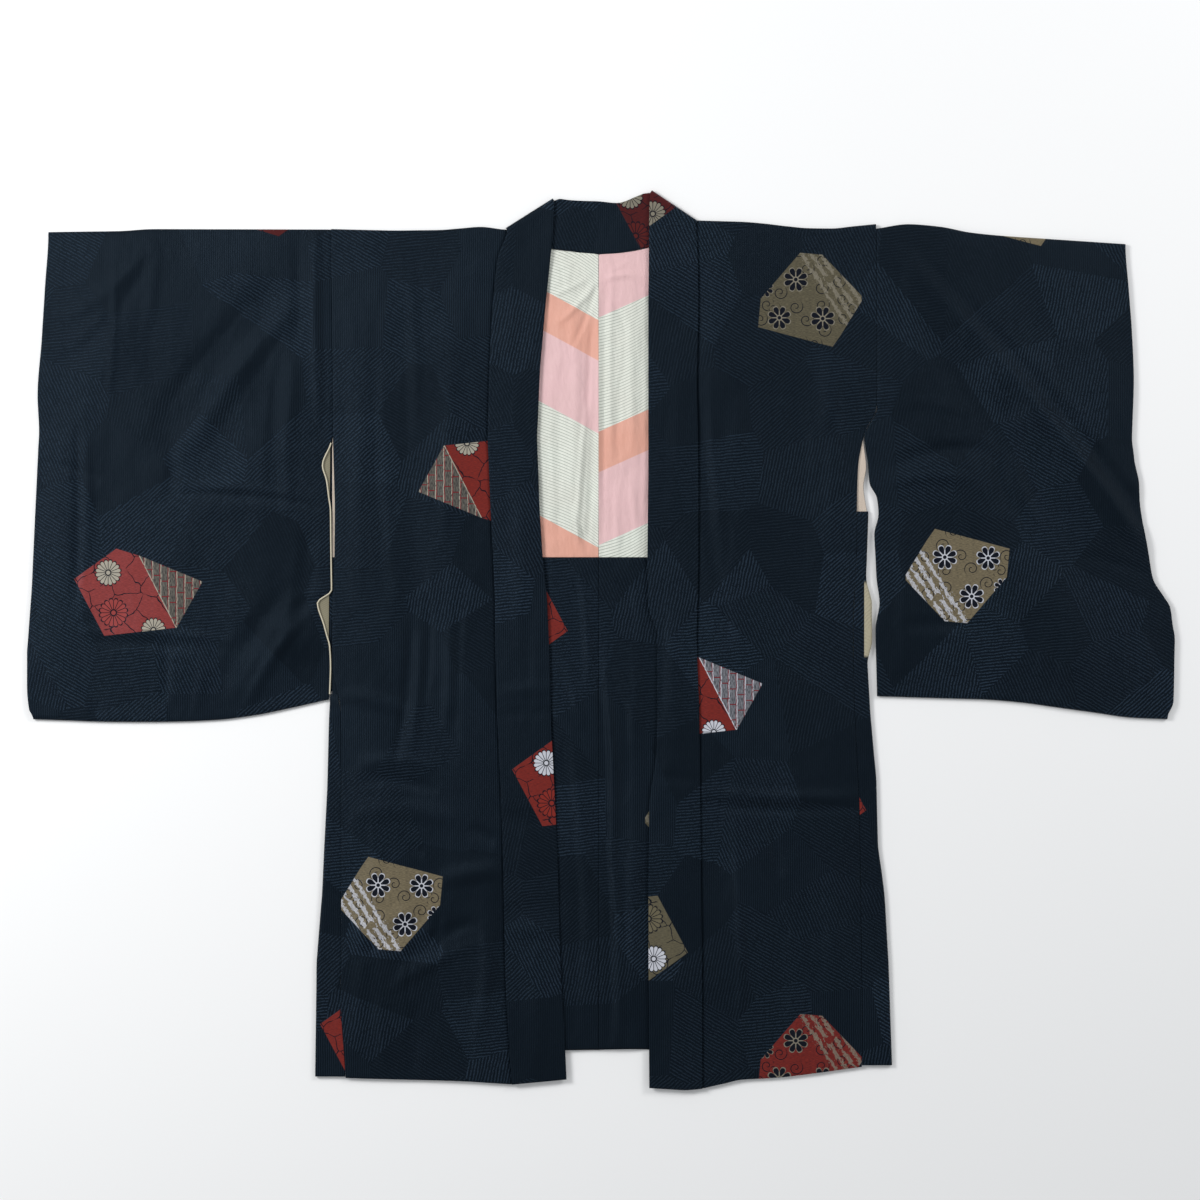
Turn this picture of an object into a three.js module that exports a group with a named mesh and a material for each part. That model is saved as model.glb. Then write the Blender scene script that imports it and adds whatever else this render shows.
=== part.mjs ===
// A haori, the open jacket worn over a kimono, laid flat on its back with its fronts on top.
// Millimetres, +Z up. +Y runs from hem to neck and +X to the right of someone looking down on it.
// Each piece is one cut of cloth, built as a wall round a grid of middle points. The body halves
// run without a seam from back hem over the shoulder to front hem, the sleeves are flattened
// tubes, and the collar is one long band that turns over on a slant at each side of the neck.
import * as THREE from "three";

// Thickness of each cloth, and the space left at seams and between layers.
const CLOTH = 1.2;
const LINING = 1;
const COLLAR = 2.8;
const GAP = 0.3;
const SEAM = 0.2; // how far each edge stands back from its seam line
const COLLAR_GAP = 0.4; // between the collar's front stretches and its part behind the neck
const LINING_INSET = 0.6; // how far inside the back's edge its lining ends

// Heights of the middle of each layer, from the surface that the jacket lies on.
const BACK_Z = CLOTH / 2;
const LINING_Z = CLOTH + GAP + LINING / 2;
const FRONT_Z = LINING_Z + LINING / 2 + GAP + CLOTH / 2;
const NECK_Z = COLLAR / 2;
const COLLAR_Z = COLLAR + COLLAR_GAP + COLLAR / 2;

// A pressed fold between back and front: its radius, and how far it reaches past the last row.
const TURN_RADIUS = (FRONT_Z - BACK_Z) / 2;
const TURN_REACH = TURN_RADIUS + CLOTH / 2;
const TURN_STEPS = 4;

// How high the slack of an upper layer stands in its middle. It and the folds fade out over a
// share of the width and length, and at a side edge a folded part of each fold's height stays.
const BODY_SLACK = 1.9;
const SLEEVE_SLACK = 2.1;
const COLLAR_SLACK = 0.5;
const FADE_SHARE = 0.16;
const FOLD_AT_EDGE = 0.25;
const FOLD_RISE = 0.6; // power of the rise and fall of a fold along its length

// How finely pieces are divided.
const BODY_COLUMNS = 8;
const SLEEVE_COLUMNS = 8;
const LINING_COLUMNS = 4;
const COLLAR_COLUMNS = 3;
const ROW_SPACING = 64;
const FLAT_ROW_SPACING = 150;
const MIN_ROW = 12; // rows of an upper layer closer than this are one row
const MIN_FLAT_ROW = 1.2; // and rows of a flat layer, which follow the neckline
const MIN_SLEEVE_ROW = 7; // and rows of a sleeve, which follow its rounded corner and slit
const GUSSET_ROW_SPACING = 128;
const MIN_GUSSET_ROW = 1;

// Distances down are taken from the left shoulder fold, and x from the middle of the jacket.
const CENTRE_BACK = -4; // x of the centre back seam
const LINING_TOP = { left: 12, right: 7 }; // just inside the shoulder folds
const FACING_TOP = 361; // where the lining ends and the turned-up hem begins
const FACING_HEM = 2; // how far above the back's hem the facing ends
const OPENING_END = 314; // where the right side's opening ends and its gusset begins
const PAST_BACK_HEM = 930; // edges are drawn on to here, and each piece ends at its hem
const PAST_FRONT_HEM = 960;
const HALF_REACH = 320; // how far level lines run to either side
const SLIT_LINING = { top: 236, bottom: 508, width: 34, inset: 1 }; // shows at the left slit

// Left half, looking down: the side line, the collar seam and the collar's free edge.
const LEFT = [
  { down: -34, side: -298, seam: -109, free: -51 },
  { down: 0, side: -298, seam: -109.6, free: -54 },
  { down: 37, side: -298, seam: -116.6, free: -57.4 },
  { down: 92, side: -297, seam: -121, free: -63 },
  { down: 156, side: -296.5, seam: -124.3, free: -68.4 },
  { down: 231, side: -296, seam: -126, free: -71.5 },
  { down: 307, side: -294, seam: -123, free: -68.8 },
  { down: 363, side: -294.5, seam: -120, free: -65.2 },
  { down: 408, side: -296, seam: -118, free: -60.5 },
  { down: 452, side: -297, seam: -117.7, free: -58.6 },
  { down: 485, side: -295.9, seam: -117, free: -57.5 },
  { down: 536, side: -286.6, seam: -115.5, free: -56.6 },
  { down: 634, side: -287, seam: -111, free: -51.7 },
  { down: 701, side: -287, seam: -109, free: -48.8 },
  { down: 804, side: -287, seam: -107, free: -46.2 },
  { down: 851, side: -288, seam: -105.3, free: -43.5 },
  { down: 917, side: -283, seam: -101, free: -40 },
  { down: 942, side: -281.6, seam: -99.3, free: -38.9 },
];
const RIGHT = [
  { down: -43, side: 301, seam: 103, free: 52 },
  { down: -7, side: 301, seam: 104.5, free: 51.5 },
  { down: 87, side: 301.4, seam: 105.6, free: 50.6 },
  { down: 170, side: 301.4, seam: 104, free: 50.6 },
  { down: 197, side: 301.4, seam: 104.4, free: 50.6 },
  { down: 228, side: 287.1, seam: 105, free: 50.6 },
  { down: 268, side: 280.5, seam: 105.5, free: 50.6 },
  { down: 314, side: 279.8, seam: 105.6, free: 50 },
  { down: 364, side: 279.4, seam: 105.6, free: 49.5 },
  { down: 415, side: 276.5, seam: 104.5, free: 50.6 },
  { down: 448, side: 275.3, seam: 103.6, free: 60.5 },
  { down: 532, side: 277.5, seam: 106.7, free: 60.5 },
  { down: 574, side: 279.7, seam: 107.1, free: 59.4 },
  { down: 630, side: 282.5, seam: 107.6, free: 51.7 },
  { down: 726, side: 284.2, seam: 108.7, free: 50.6 },
  { down: 804, side: 284.9, seam: 109.6, free: 50.8 },
  { down: 881, side: 286, seam: 109.9, free: 51.3 },
  { down: 950, side: 284.9, seam: 110, free: 51.7 },
];

// The back's side lines. They leave the front's at the left above the gusset, which the front
// covers there, and at the right where the side is open.
const BACK_SIDE_LEFT = [
  { down: 0, x: -298 },
  { down: 231, x: -297.4 },
  { down: 512.8, x: -297.2 },
  { down: 514.2, x: -290.4 },
  { down: 536, x: -286.6 },
  { down: 701, x: -287 },
  { down: 851, x: -288 },
  { down: 917, x: -283 },
  { down: 942, x: -281.6 },
];
const BACK_SIDE_RIGHT = [
  { down: -7, x: 301 },
  { down: 197, x: 301.4 },
  { down: 228, x: 287.1 },
  { down: 262, x: 290.4 },
  { down: 283, x: 287.5 },
  { down: 312, x: 291.5 },
  { down: 313.4, x: 279.8 },
  ...RIGHT.filter((row) => row.down > OPENING_END).map((row) => ({ down: row.down, x: row.side })),
];

// The neckline of each back half, from the centre back seam out to the shoulder.
const NECK_LEFT = [
  { down: 1, x: -109.6 },
  { down: 11, x: -82 },
  { down: 22, x: -56 },
  { down: 25.3, x: -30 },
  { down: 28.2, x: CENTRE_BACK },
];
const NECK_RIGHT = [
  { down: -7, x: 106.5 },
  { down: 6, x: 78 },
  { down: 20.5, x: 51 },
  { down: 26.4, x: 19 },
  { down: 28.2, x: CENTRE_BACK },
];

// Hems, tops and bottoms: how far down each one lies along its width.
const HEM_LEFT = [
  { x: -316, down: 931.5 },
  { x: -281.6, down: 933 },
  { x: -153, down: 936.5 },
  { x: -99.3, down: 940 },
  { x: -38.9, down: 934.4 },
];
const HEM_RIGHT = [
  { x: 51.7, down: 943.8 },
  { x: 97, down: 946.5 },
  { x: 115, down: 943.8 },
  { x: 150, down: 935 },
  { x: 193, down: 932.8 },
  { x: 238, down: 927.3 },
  { x: 285, down: 920.7 },
  { x: 319, down: 919 },
];
const BACK_HEM = [
  { x: -290, down: 925 },
  { x: -39, down: 903 },
  { x: 52, down: 901.6 },
  { x: 290, down: 913 },
];
const SHOULDER_LEFT = [
  { x: -298, down: 0 },
  { x: -231, down: 1.6 },
  { x: -175, down: 1 },
  { x: -135, down: -2.6 },
  { x: -109, down: 0.4 },
];
const SHOULDER_RIGHT = [
  { x: 104, down: -9.5 },
  { x: 164, down: -7.7 },
  { x: 220, down: -1.1 },
  { x: 251, down: -0.6 },
  { x: 301, down: -5.5 },
];

// Sleeves. The slit is the open inner edge below the armhole, which is pinched at the left.
const SLEEVE_LEFT = {
  cuff: [
    { down: 0, x: -608.3 },
    { down: 123, x: -616 },
    { down: 183, x: -620.4 },
    { down: 222, x: -618.8 },
    { down: 309, x: -622.9 },
    { down: 397, x: -627 },
    { down: 466, x: -632 },
    { down: 508, x: -632 },
    { down: 529, x: -629.5 },
    { down: 538, x: -624.8 },
  ],
  slit: [
    { down: 0, x: -299 },
    { down: 231, x: -298 },
    { down: 260, x: -308 },
    { down: 276, x: -303.6 },
    { down: 309, x: -299.2 },
    { down: 397, x: -298.1 },
    { down: 411, x: -313.5 },
    { down: 435, x: -306.5 },
    { down: 458, x: -300.3 },
    { down: 481, x: -299.2 },
    { down: 517, x: -300.3 },
  ],
  backSlit: [
    { down: 0, x: -299 },
    { down: 231, x: -298 },
    { down: 517, x: -300.3 },
  ],
  top: [
    { x: -608, down: 3.3 },
    { x: -530, down: 2.2 },
    { x: -497, down: 0 },
    { x: -299, down: 0.5 },
  ],
  bottom: [
    { x: -625, down: 539 },
    { x: -528, down: 542.3 },
    { x: -438, down: 541.2 },
    { x: -393, down: 536.8 },
    { x: -353, down: 529 },
    { x: -300, down: 517 },
  ],
};
const SLIT_RIGHT = [
  { down: -5, x: 301.9 },
  { down: 197, x: 302.1 },
  { down: 228, x: 287.9 },
  { down: 257, x: 291.8 },
  { down: 279, x: 293.7 },
  { down: 296, x: 302 },
  { down: 313.5, x: 303.6 },
  { down: 335.5, x: 299 },
  { down: 384, x: 301.4 },
  { down: 411, x: 304.7 },
  { down: 439, x: 300.3 },
  { down: 514, x: 302 },
];
const SLEEVE_RIGHT = {
  cuff: [
    { down: 16.5, x: 574.8 },
    { down: 114, x: 582 },
    { down: 165, x: 584 },
    { down: 230, x: 582 },
    { down: 257, x: 585 },
    { down: 283, x: 590.7 },
    { down: 305, x: 590.7 },
    { down: 384, x: 605 },
    { down: 415, x: 623.7 },
    { down: 451, x: 629 },
    { down: 520, x: 627.5 },
    { down: 536, x: 621 },
  ],
  slit: SLIT_RIGHT,
  backSlit: SLIT_RIGHT,
  top: [
    { x: 302, down: -0.5 },
    { x: 345, down: -6.6 },
    { x: 362, down: -4.4 },
    { x: 400, down: 3.3 },
    { x: 442, down: 7.7 },
    { x: 575, down: 16.5 },
  ],
  bottom: [
    { x: 302, down: 513.7 },
    { x: 442, down: 518 },
    { x: 591, down: 538.5 },
    { x: 621, down: 539 },
  ],
};

// Gussets: the outer fold of each hairpin, from its top to the hem.
const GUSSET_LEFT = [
  { down: 515.4, x: -299.2 },
  { down: 536, x: -300.3 },
  { down: 617, x: -302.5 },
  { down: 681, x: -305.8 },
  { down: 729, x: -308 },
  { down: 804, x: -314 },
  { down: 931.5, x: -315.7 },
];
const GUSSET_RIGHT = [
  { down: 314.5, x: 292.6 },
  { down: 382, x: 290.2 },
  { down: 410, x: 296.4 },
  { down: 452, x: 296.6 },
  { down: 478, x: 291.6 },
  { down: 532, x: 294.8 },
  { down: 608, x: 301.4 },
  { down: 673, x: 303 },
  { down: 729, x: 310 },
  { down: 804, x: 314.6 },
  { down: 919, x: 318.6 },
];

// The collar behind the neck, low on the surface: one row across the band for each line. The
// first and last rows are the slanted folds where it turns over onto the fronts.
const NECK_BAND = [
  { seamX: -104.5, seamDown: 1.5, freeX: -53, freeDown: -31 },
  { seamX: -82, seamDown: 10.4, freeX: -47, freeDown: -33 },
  { seamX: -56, seamDown: 21.4, freeX: -38, freeDown: -32 },
  { seamX: -30, seamDown: 24.7, freeX: -22, freeDown: -31 },
  { seamX: -4, seamDown: 27.5, freeX: -5, freeDown: -30.5 },
  { seamX: 19, seamDown: 25.8, freeX: 16, freeDown: -28.6 },
  { seamX: 51, seamDown: 19.9, freeX: 38, freeDown: -36 },
  { seamX: 78, seamDown: 5.4, freeX: 46, freeDown: -39 },
  { seamX: 103, seamDown: -6.5, freeX: 53, freeDown: -40 },
];

// The largest folds of the upper layers. Each runs from one point to another, bends sideways
// by bend at its middle, and is height tall over width to either side. Below zero is a trough.
const BODY_FOLDS = [
  { x: -262, down: 20, toX: -240, toDown: 560, bend: 10, width: 30, height: 2.4 },
  { x: -205, down: 60, toX: -214, toDown: 420, bend: -14, width: 24, height: -1.4 },
  { x: -170, down: 30, toX: -150, toDown: 640, bend: -12, width: 28, height: 2 },
  { x: -245, down: 560, toX: -232, toDown: 960, bend: 8, width: 26, height: 2.6 },
  { x: -180, down: 600, toX: -196, toDown: 960, bend: -6, width: 24, height: -1.3 },
  { x: -146, down: 640, toX: -128, toDown: 970, bend: 6, width: 24, height: 2 },
  { x: 140, down: 10, toX: 152, toDown: 520, bend: -8, width: 26, height: 2 },
  { x: 205, down: 20, toX: 190, toDown: 400, bend: 12, width: 26, height: -1.3 },
  { x: 262, down: 20, toX: 236, toDown: 470, bend: 8, width: 30, height: 2.4 },
  { x: 130, down: 628, toX: 280, toDown: 640, bend: 6, width: 26, height: 1.7 },
  { x: 160, down: 560, toX: 176, toDown: 980, bend: -10, width: 28, height: 2.2 },
  { x: 250, down: 640, toX: 244, toDown: 970, bend: 8, width: 26, height: 2 },
];
const SLEEVE_FOLDS = [
  { x: -318, down: 404, toX: -392, toDown: 536, bend: -7, width: 34, height: 6 },
  { x: -350, down: 60, toX: -480, toDown: 300, bend: 16, width: 40, height: -1.6 },
  { x: -318, down: 120, toX: -430, toDown: 330, bend: 14, width: 36, height: 2.6 },
  { x: -532, down: 20, toX: -540, toDown: 185, bend: 0, width: 26, height: 1.8 },
  { x: -580, down: 215, toX: -580, toDown: 345, bend: 0, width: 26, height: 1.8 },
  { x: -470, down: 290, toX: -310, toDown: 312, bend: -5, width: 26, height: 1.6 },
  { x: -560, down: 400, toX: -440, toDown: 520, bend: 9, width: 32, height: 2.4 },
  { x: 325, down: 20, toX: 605, toDown: 460, bend: -14, width: 44, height: -1.9 },
  { x: 380, down: 20, toX: 640, toDown: 400, bend: -16, width: 40, height: 3.4 },
  { x: 312, down: 110, toX: 540, toDown: 480, bend: -18, width: 40, height: 3 },
  { x: 330, down: 255, toX: 452, toDown: 286, bend: 6, width: 26, height: 2 },
  { x: 350, down: 500, toX: 470, toDown: 400, bend: 8, width: 30, height: 2.2 },
];
const COLLAR_FOLDS = [
  { x: -94, down: 250, toX: -86, toDown: 520, bend: 5, width: 22, height: 0.9 },
  { x: 80, down: 395, toX: 84, toDown: 660, bend: -4, width: 22, height: 1.2 },
];

const cloth = (color, roughness) => new THREE.MeshStandardMaterial({ color, roughness, metalness: 0 });
const NAVY = cloth(0x101824, 0.55);
const FACED = cloth(0x131c29, 0.6);
const SHELL_PINK = cloth(0xe6d2c8, 0.5);
const KHAKI = cloth(0x9c9478, 0.6);

const UP = new THREE.Vector3(0, 0, 1);
const DOWN = new THREE.Vector3(0, 0, -1);
const jacket = new THREE.Group();

// Reads a column of a table at a place on its key column, straight between the rows.
function read(table, key, place, column) {
  const rising = [...table].sort((a, b) => a[key] - b[key]);
  let next = rising.findIndex((row) => row[key] > place);
  if (next < 0) next = rising.length - 1;
  next = Math.max(next, 1);
  const low = rising[next - 1];
  const high = rising[next];
  const share = THREE.MathUtils.clamp((place - low[key]) / (high[key] - low[key]), 0, 1);
  return THREE.MathUtils.lerp(low[column], high[column], share);
}

// One column of a half's table as an edge, moved sideways by shift.
function edge(table, column, shift = 0) {
  return table.map((row) => ({ down: row.down, x: row[column] + shift }));
}

// Height that the folds of a table add at a point.
function foldLift(folds, x, down) {
  let lift = 0;
  for (const fold of folds) {
    const runX = fold.toX - fold.x;
    const runDown = fold.toDown - fold.down;
    const length = Math.hypot(runX, runDown);
    const along = ((x - fold.x) * runX + (down - fold.down) * runDown) / length ** 2;
    if (along <= 0 || along >= 1) continue;
    const bow = fold.bend * 4 * along * (1 - along);
    const across = ((x - fold.x) * runDown - (down - fold.down) * runX) / length - bow;
    if (Math.abs(across) >= fold.width) continue;
    const crest = Math.cos((across / fold.width) * (Math.PI / 2)) ** 2;
    lift += fold.height * crest * Math.sin(Math.PI * along) ** FOLD_RISE;
  }
  return lift;
}

// Height of an upper layer's slack and folds: nothing at its edges, all of it inside.
function looseness(slack, folds, x, down, u, v) {
  const ease = (t) => THREE.MathUtils.smoothstep(Math.min(t, 1 - t), 0, FADE_SHARE);
  const folded = foldLift(folds, x, down) * THREE.MathUtils.lerp(FOLD_AT_EDGE, 1, ease(u));
  return Math.max((slack * ease(u) + folded) * ease(v), 0);
}

// Shares down a piece, 0 to 1, with one at each row of its edges and none further apart than
// spacing. An edge has its line, and the distances down of its two ends, high and low.
function shares(edges, spacing, closest) {
  const wanted = [0, 1];
  for (const { line, high, low } of edges) {
    for (const row of line) wanted.push((row.down - high) / (low - high));
  }
  const inside = wanted.filter((v) => v >= 0 && v <= 1).sort((a, b) => a - b);
  const length = edges[0].low - edges[0].high;
  const least = closest / length;
  const kept = [0];
  for (const v of inside) {
    if (v - kept.at(-1) > least && 1 - v > least) kept.push(v);
  }
  kept.push(1);
  const result = [];
  kept.forEach((v, i) => {
    if (i === 0) return;
    const steps = Math.ceil(((v - kept[i - 1]) * length) / spacing);
    for (let s = 0; s < steps; s += 1) result.push(THREE.MathUtils.lerp(kept[i - 1], v, s / steps));
  });
  return [...result, 1];
}

// A line's rows, all further to the side by shift.
const beside = (line, shift) => line.map((row) => ({ x: row.x + shift, down: row.down }));

// A line's rows, all lower by drop.
const lowered = (line, drop) => line.map((row) => ({ x: row.x, down: row.down + drop }));

// The line that the first or last places of some rows draw, moved sideways by shift.
function rim(rows, end, shift) {
  return beside(rows.map((row) => row.at(end)), shift);
}

// A patch of cloth between two edges, a top line and a bottom line, as rows of places.
// Each place has x, down, and its shares u across and v down the patch.
function patch({ from, to, top, bottom, columns, spacing, closest = MIN_ROW }) {
  const edges = [from, to].map((line) => {
    const high = read(top, "x", line[0].x, "down");
    const low = read(bottom, "x", line.at(-1).x, "down");
    return { line, high, low };
  });
  const downAt = (u, v) => {
    const topX = THREE.MathUtils.lerp(from[0].x, to[0].x, u);
    const bottomX = THREE.MathUtils.lerp(from.at(-1).x, to.at(-1).x, u);
    return THREE.MathUtils.lerp(read(top, "x", topX, "down"), read(bottom, "x", bottomX, "down"), v);
  };
  return shares(edges, spacing, closest).map((v) => {
    const fromX = read(from, "down", downAt(0, v), "x");
    const toX = read(to, "down", downAt(1, v), "x");
    return Array.from({ length: columns + 1 }, (_, c) => {
      const u = c / columns;
      return { x: THREE.MathUtils.lerp(fromX, toX, u), down: downAt(u, v), u, v };
    });
  });
}

// Places as cells of a wall: a middle point, and the way the outer face looks.
const cell = (x, down, z, out) => ({ point: new THREE.Vector3(x, -down, z), out: out.clone() });

function flatRows(rows, z, out) {
  return rows.map((row) => row.map((p) => cell(p.x, p.down, z, out)));
}

function looseRows(rows, z, slack, folds) {
  return rows.map((row) =>
    row.map((p) => cell(p.x, p.down, z + looseness(slack, folds, p.x, p.down, p.u, p.v), UP)),
  );
}

// Rows that turn a wall over past a line of places, from startAngle to startAngle + PI. The fold
// bulges along ahead; the outer face looks down at angle 0 and up at PI.
function turnRows(line, ahead, startAngle) {
  const rows = [];
  for (let s = 1; s < TURN_STEPS; s += 1) {
    const angle = startAngle + (Math.PI * s) / TURN_STEPS;
    const out = ahead.clone().multiplyScalar(Math.sin(angle)).addScaledVector(DOWN, Math.cos(angle));
    const middle = (BACK_Z + FRONT_Z) / 2;
    rows.push(
      line.map((p) => {
        const centre = new THREE.Vector3(p.x, -p.down, middle);
        return { point: centre.addScaledVector(out, TURN_RADIUS), out: out.clone() };
      }),
    );
  }
  return rows;
}

// A closed wall of cloth round a grid of cells. With loop, the last row joins the first.
function wall(grid, thickness, loop = false) {
  const rows = grid.length;
  const columns = grid[0].length;
  const last = columns - 1;
  const corners = [];
  for (const side of [thickness / 2, -thickness / 2]) {
    for (const { point, out } of grid.flat()) {
      corners.push(...point.clone().addScaledVector(out, side).toArray());
    }
  }
  const at = (side, r, c) => side * rows * columns + (r % rows) * columns + c;
  const faces = [];
  const quad = (a, b, c, d) => faces.push(a, b, c, a, c, d);
  for (let r = 0; r < (loop ? rows : rows - 1); r += 1) {
    for (let c = 0; c < last; c += 1) {
      quad(at(0, r, c), at(0, r, c + 1), at(0, r + 1, c + 1), at(0, r + 1, c));
      quad(at(1, r, c), at(1, r + 1, c), at(1, r + 1, c + 1), at(1, r, c + 1));
    }
    quad(at(0, r, 0), at(0, r + 1, 0), at(1, r + 1, 0), at(1, r, 0));
    quad(at(0, r, last), at(1, r, last), at(1, r + 1, last), at(0, r + 1, last));
  }
  if (!loop) {
    const end = rows - 1;
    for (let c = 0; c < last; c += 1) {
      quad(at(0, 0, c), at(1, 0, c), at(1, 0, c + 1), at(0, 0, c + 1));
      quad(at(0, end, c), at(0, end, c + 1), at(1, end, c + 1), at(1, end, c));
    }
  }
  const volume = faces.reduce((sum, _, i) => {
    if (i % 3) return sum;
    const [a, b, c] = [0, 1, 2].map((k) => new THREE.Vector3().fromArray(corners, faces[i + k] * 3));
    return sum + a.dot(b.cross(c));
  }, 0);
  if (volume < 0) faces.reverse();
  const geometry = new THREE.BufferGeometry();
  geometry.setAttribute("position", new THREE.Float32BufferAttribute(corners, 3));
  geometry.setIndex(faces);
  geometry.computeVertexNormals();
  return geometry;
}

function add(name, geometry, material) {
  const mesh = new THREE.Mesh(geometry, material);
  mesh.name = name;
  jacket.add(mesh);
}

// An edge cut off so that it runs from one distance down to another. A row right beside a cut
// is left out.
function trimmed(line, top, bottom) {
  const inside = line.filter((row) => row.down > top + GAP && row.down < bottom - GAP);
  const end = (down) => ({ down, x: read(line, "down", down, "x") });
  return [end(top), ...inside, end(bottom)];
}

// The back's edge at the middle: down the neckline, then down the centre back seam.
function middleEdge(neck, sign, drop = 0) {
  const seamX = CENTRE_BACK + sign * SEAM;
  const cut = lowered(neck, drop);
  cut.at(-1).x = seamX;
  return [...cut, { x: seamX, down: PAST_BACK_HEM }];
}

const AHEAD = new THREE.Vector3(0, 1, 0);

// Body: one cut from the back hem, over the shoulder fold, to the front hem.
function bodyHalf(name, half, backSide, neck, shoulder, hem, sign) {
  const top = lowered(shoulder, TURN_REACH);
  const topDown = shoulder.reduce((sum, row) => sum + row.down, 0) / shoulder.length;
  const front = patch({
    from: trimmed(edge(half, "side", -sign * SEAM), topDown, PAST_FRONT_HEM),
    to: trimmed(edge(half, "seam", sign * SEAM), topDown, PAST_FRONT_HEM),
    top,
    bottom: hem,
    columns: BODY_COLUMNS,
    spacing: ROW_SPACING,
  });
  const back = patch({
    from: trimmed(beside(backSide, -sign * SEAM), topDown, PAST_BACK_HEM),
    to: middleEdge(neck, sign),
    top,
    bottom: BACK_HEM,
    columns: BODY_COLUMNS,
    spacing: FLAT_ROW_SPACING,
    closest: MIN_FLAT_ROW,
  });
  const rows = [
    ...flatRows(back, BACK_Z, DOWN).reverse(),
    ...turnRows(front[0], AHEAD, 0),
    ...looseRows(front, FRONT_Z, BODY_SLACK, BODY_FOLDS),
  ];
  add(name, wall(rows, CLOTH), NAVY);
  return { front, back };
}

// Lining and facing: flat sheets that lie on the inside of the back.
function insideBack(name, backSide, neck, sign, top, bottom, material) {
  const rows = patch({
    from: trimmed(beside(backSide, -sign * LINING_INSET), top[0].down, PAST_BACK_HEM),
    to: trimmed(middleEdge(neck, sign, SEAM), top.at(-1).down, PAST_BACK_HEM),
    top,
    bottom,
    columns: LINING_COLUMNS,
    spacing: FLAT_ROW_SPACING,
    closest: MIN_FLAT_ROW,
  });
  add(name, wall(flatRows(rows, LINING_Z, UP), LINING), material);
}

// Sleeve: a flattened tube, folded along its top, sewn along its bottom.
function sleeve(name, { cuff, slit, backSlit, top, bottom }, sign) {
  const highLine = lowered(top, TURN_REACH);
  const lowLine = lowered(bottom, -TURN_REACH);
  const shared = { from: cuff, top: highLine, bottom: lowLine, columns: SLEEVE_COLUMNS };
  const front = patch({
    ...shared,
    to: beside(slit, sign * SEAM),
    spacing: ROW_SPACING,
    closest: MIN_SLEEVE_ROW,
  });
  const back = patch({ ...shared, to: beside(backSlit, sign * SEAM), spacing: FLAT_ROW_SPACING });
  const rows = [
    ...flatRows(back, BACK_Z, DOWN).reverse(),
    ...turnRows(front[0], AHEAD, 0),
    ...looseRows(front, FRONT_Z, SLEEVE_SLACK, SLEEVE_FOLDS),
    ...turnRows(back.at(-1), AHEAD, Math.PI),
  ];
  add(name, wall(rows, CLOTH, true), NAVY);
}

// Gusset: a strip folded lengthwise, its two edges sewn to the back and to the front.
function gusset(name, { front, back }, outer, hem, sign) {
  const ends = { high: outer[0].down, low: read(hem, "x", outer.at(-1).x, "down") };
  const seams = { front: rim(front, 0, sign * GAP), back: rim(back, 0, sign * GAP) };
  const edges = [outer, seams.front, seams.back].map((line) => ({ line, ...ends }));
  const parts = shares(edges, GUSSET_ROW_SPACING, MIN_GUSSET_ROW);
  const stations = parts.map((v) => THREE.MathUtils.lerp(ends.high, ends.low, v));
  const line = (seam, w) =>
    stations.map((down) => {
      const foldX = read(outer, "down", down, "x") - sign * TURN_REACH;
      return { x: THREE.MathUtils.lerp(read(seam, "down", down, "x"), foldX, w), down };
    });
  const rows = [
    ...flatRows([line(seams.back, 0), line(seams.back, 1)], BACK_Z, DOWN),
    ...turnRows(line(seams.back, 1), new THREE.Vector3(sign, 0, 0), 0),
    ...flatRows([line(seams.front, 1), line(seams.front, 0)], FRONT_Z, UP),
  ];
  add(name, wall(rows, CLOTH), NAVY);
}

// Collar: up one front, over on a slant, behind the neck, over again and down the other front.
function collarFront({ front }, half, hem, fold, sign) {
  const top = [
    { x: fold.seamX, down: fold.seamDown },
    { x: fold.freeX, down: fold.freeDown },
  ];
  const seam = rim(front, -1, -sign * GAP).filter((row) => row.down > fold.seamDown + MIN_ROW);
  const free = edge(half, "free").filter((row) => row.down > fold.freeDown + 2 * MIN_ROW);
  return patch({
    from: [{ x: fold.seamX, down: fold.seamDown }, ...seam],
    to: [{ x: fold.freeX, down: fold.freeDown }, ...free],
    top,
    bottom: hem,
    columns: COLLAR_COLUMNS,
    spacing: ROW_SPACING,
  });
}

function neckPlaces(row) {
  return Array.from({ length: COLLAR_COLUMNS + 1 }, (_, c) => {
    const u = c / COLLAR_COLUMNS;
    return {
      x: THREE.MathUtils.lerp(row.seamX, row.freeX, u),
      down: THREE.MathUtils.lerp(row.seamDown, row.freeDown, u),
    };
  });
}

// The slanted fold at the top of a front stretch, from its upper layer down to the neck's.
function slantTurn(fold, sign) {
  const slant = new THREE.Vector3(fold.freeX - fold.seamX, fold.seamDown - fold.freeDown, 0);
  const ahead = new THREE.Vector3(sign * slant.y, -sign * slant.x, 0).normalize();
  if (ahead.y < 0) ahead.negate();
  const radius = (COLLAR_Z - NECK_Z) / 2;
  const rows = [];
  for (let s = 1; s < TURN_STEPS; s += 1) {
    const angle = (Math.PI * s) / TURN_STEPS;
    const out = ahead.clone().multiplyScalar(Math.sin(angle)).addScaledVector(UP, Math.cos(angle));
    rows.push(
      neckPlaces(fold).map((p) => {
        const centre = new THREE.Vector3(p.x, -p.down, (COLLAR_Z + NECK_Z) / 2);
        return { point: centre.addScaledVector(out, radius), out: out.clone() };
      }),
    );
  }
  return rows;
}

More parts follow.
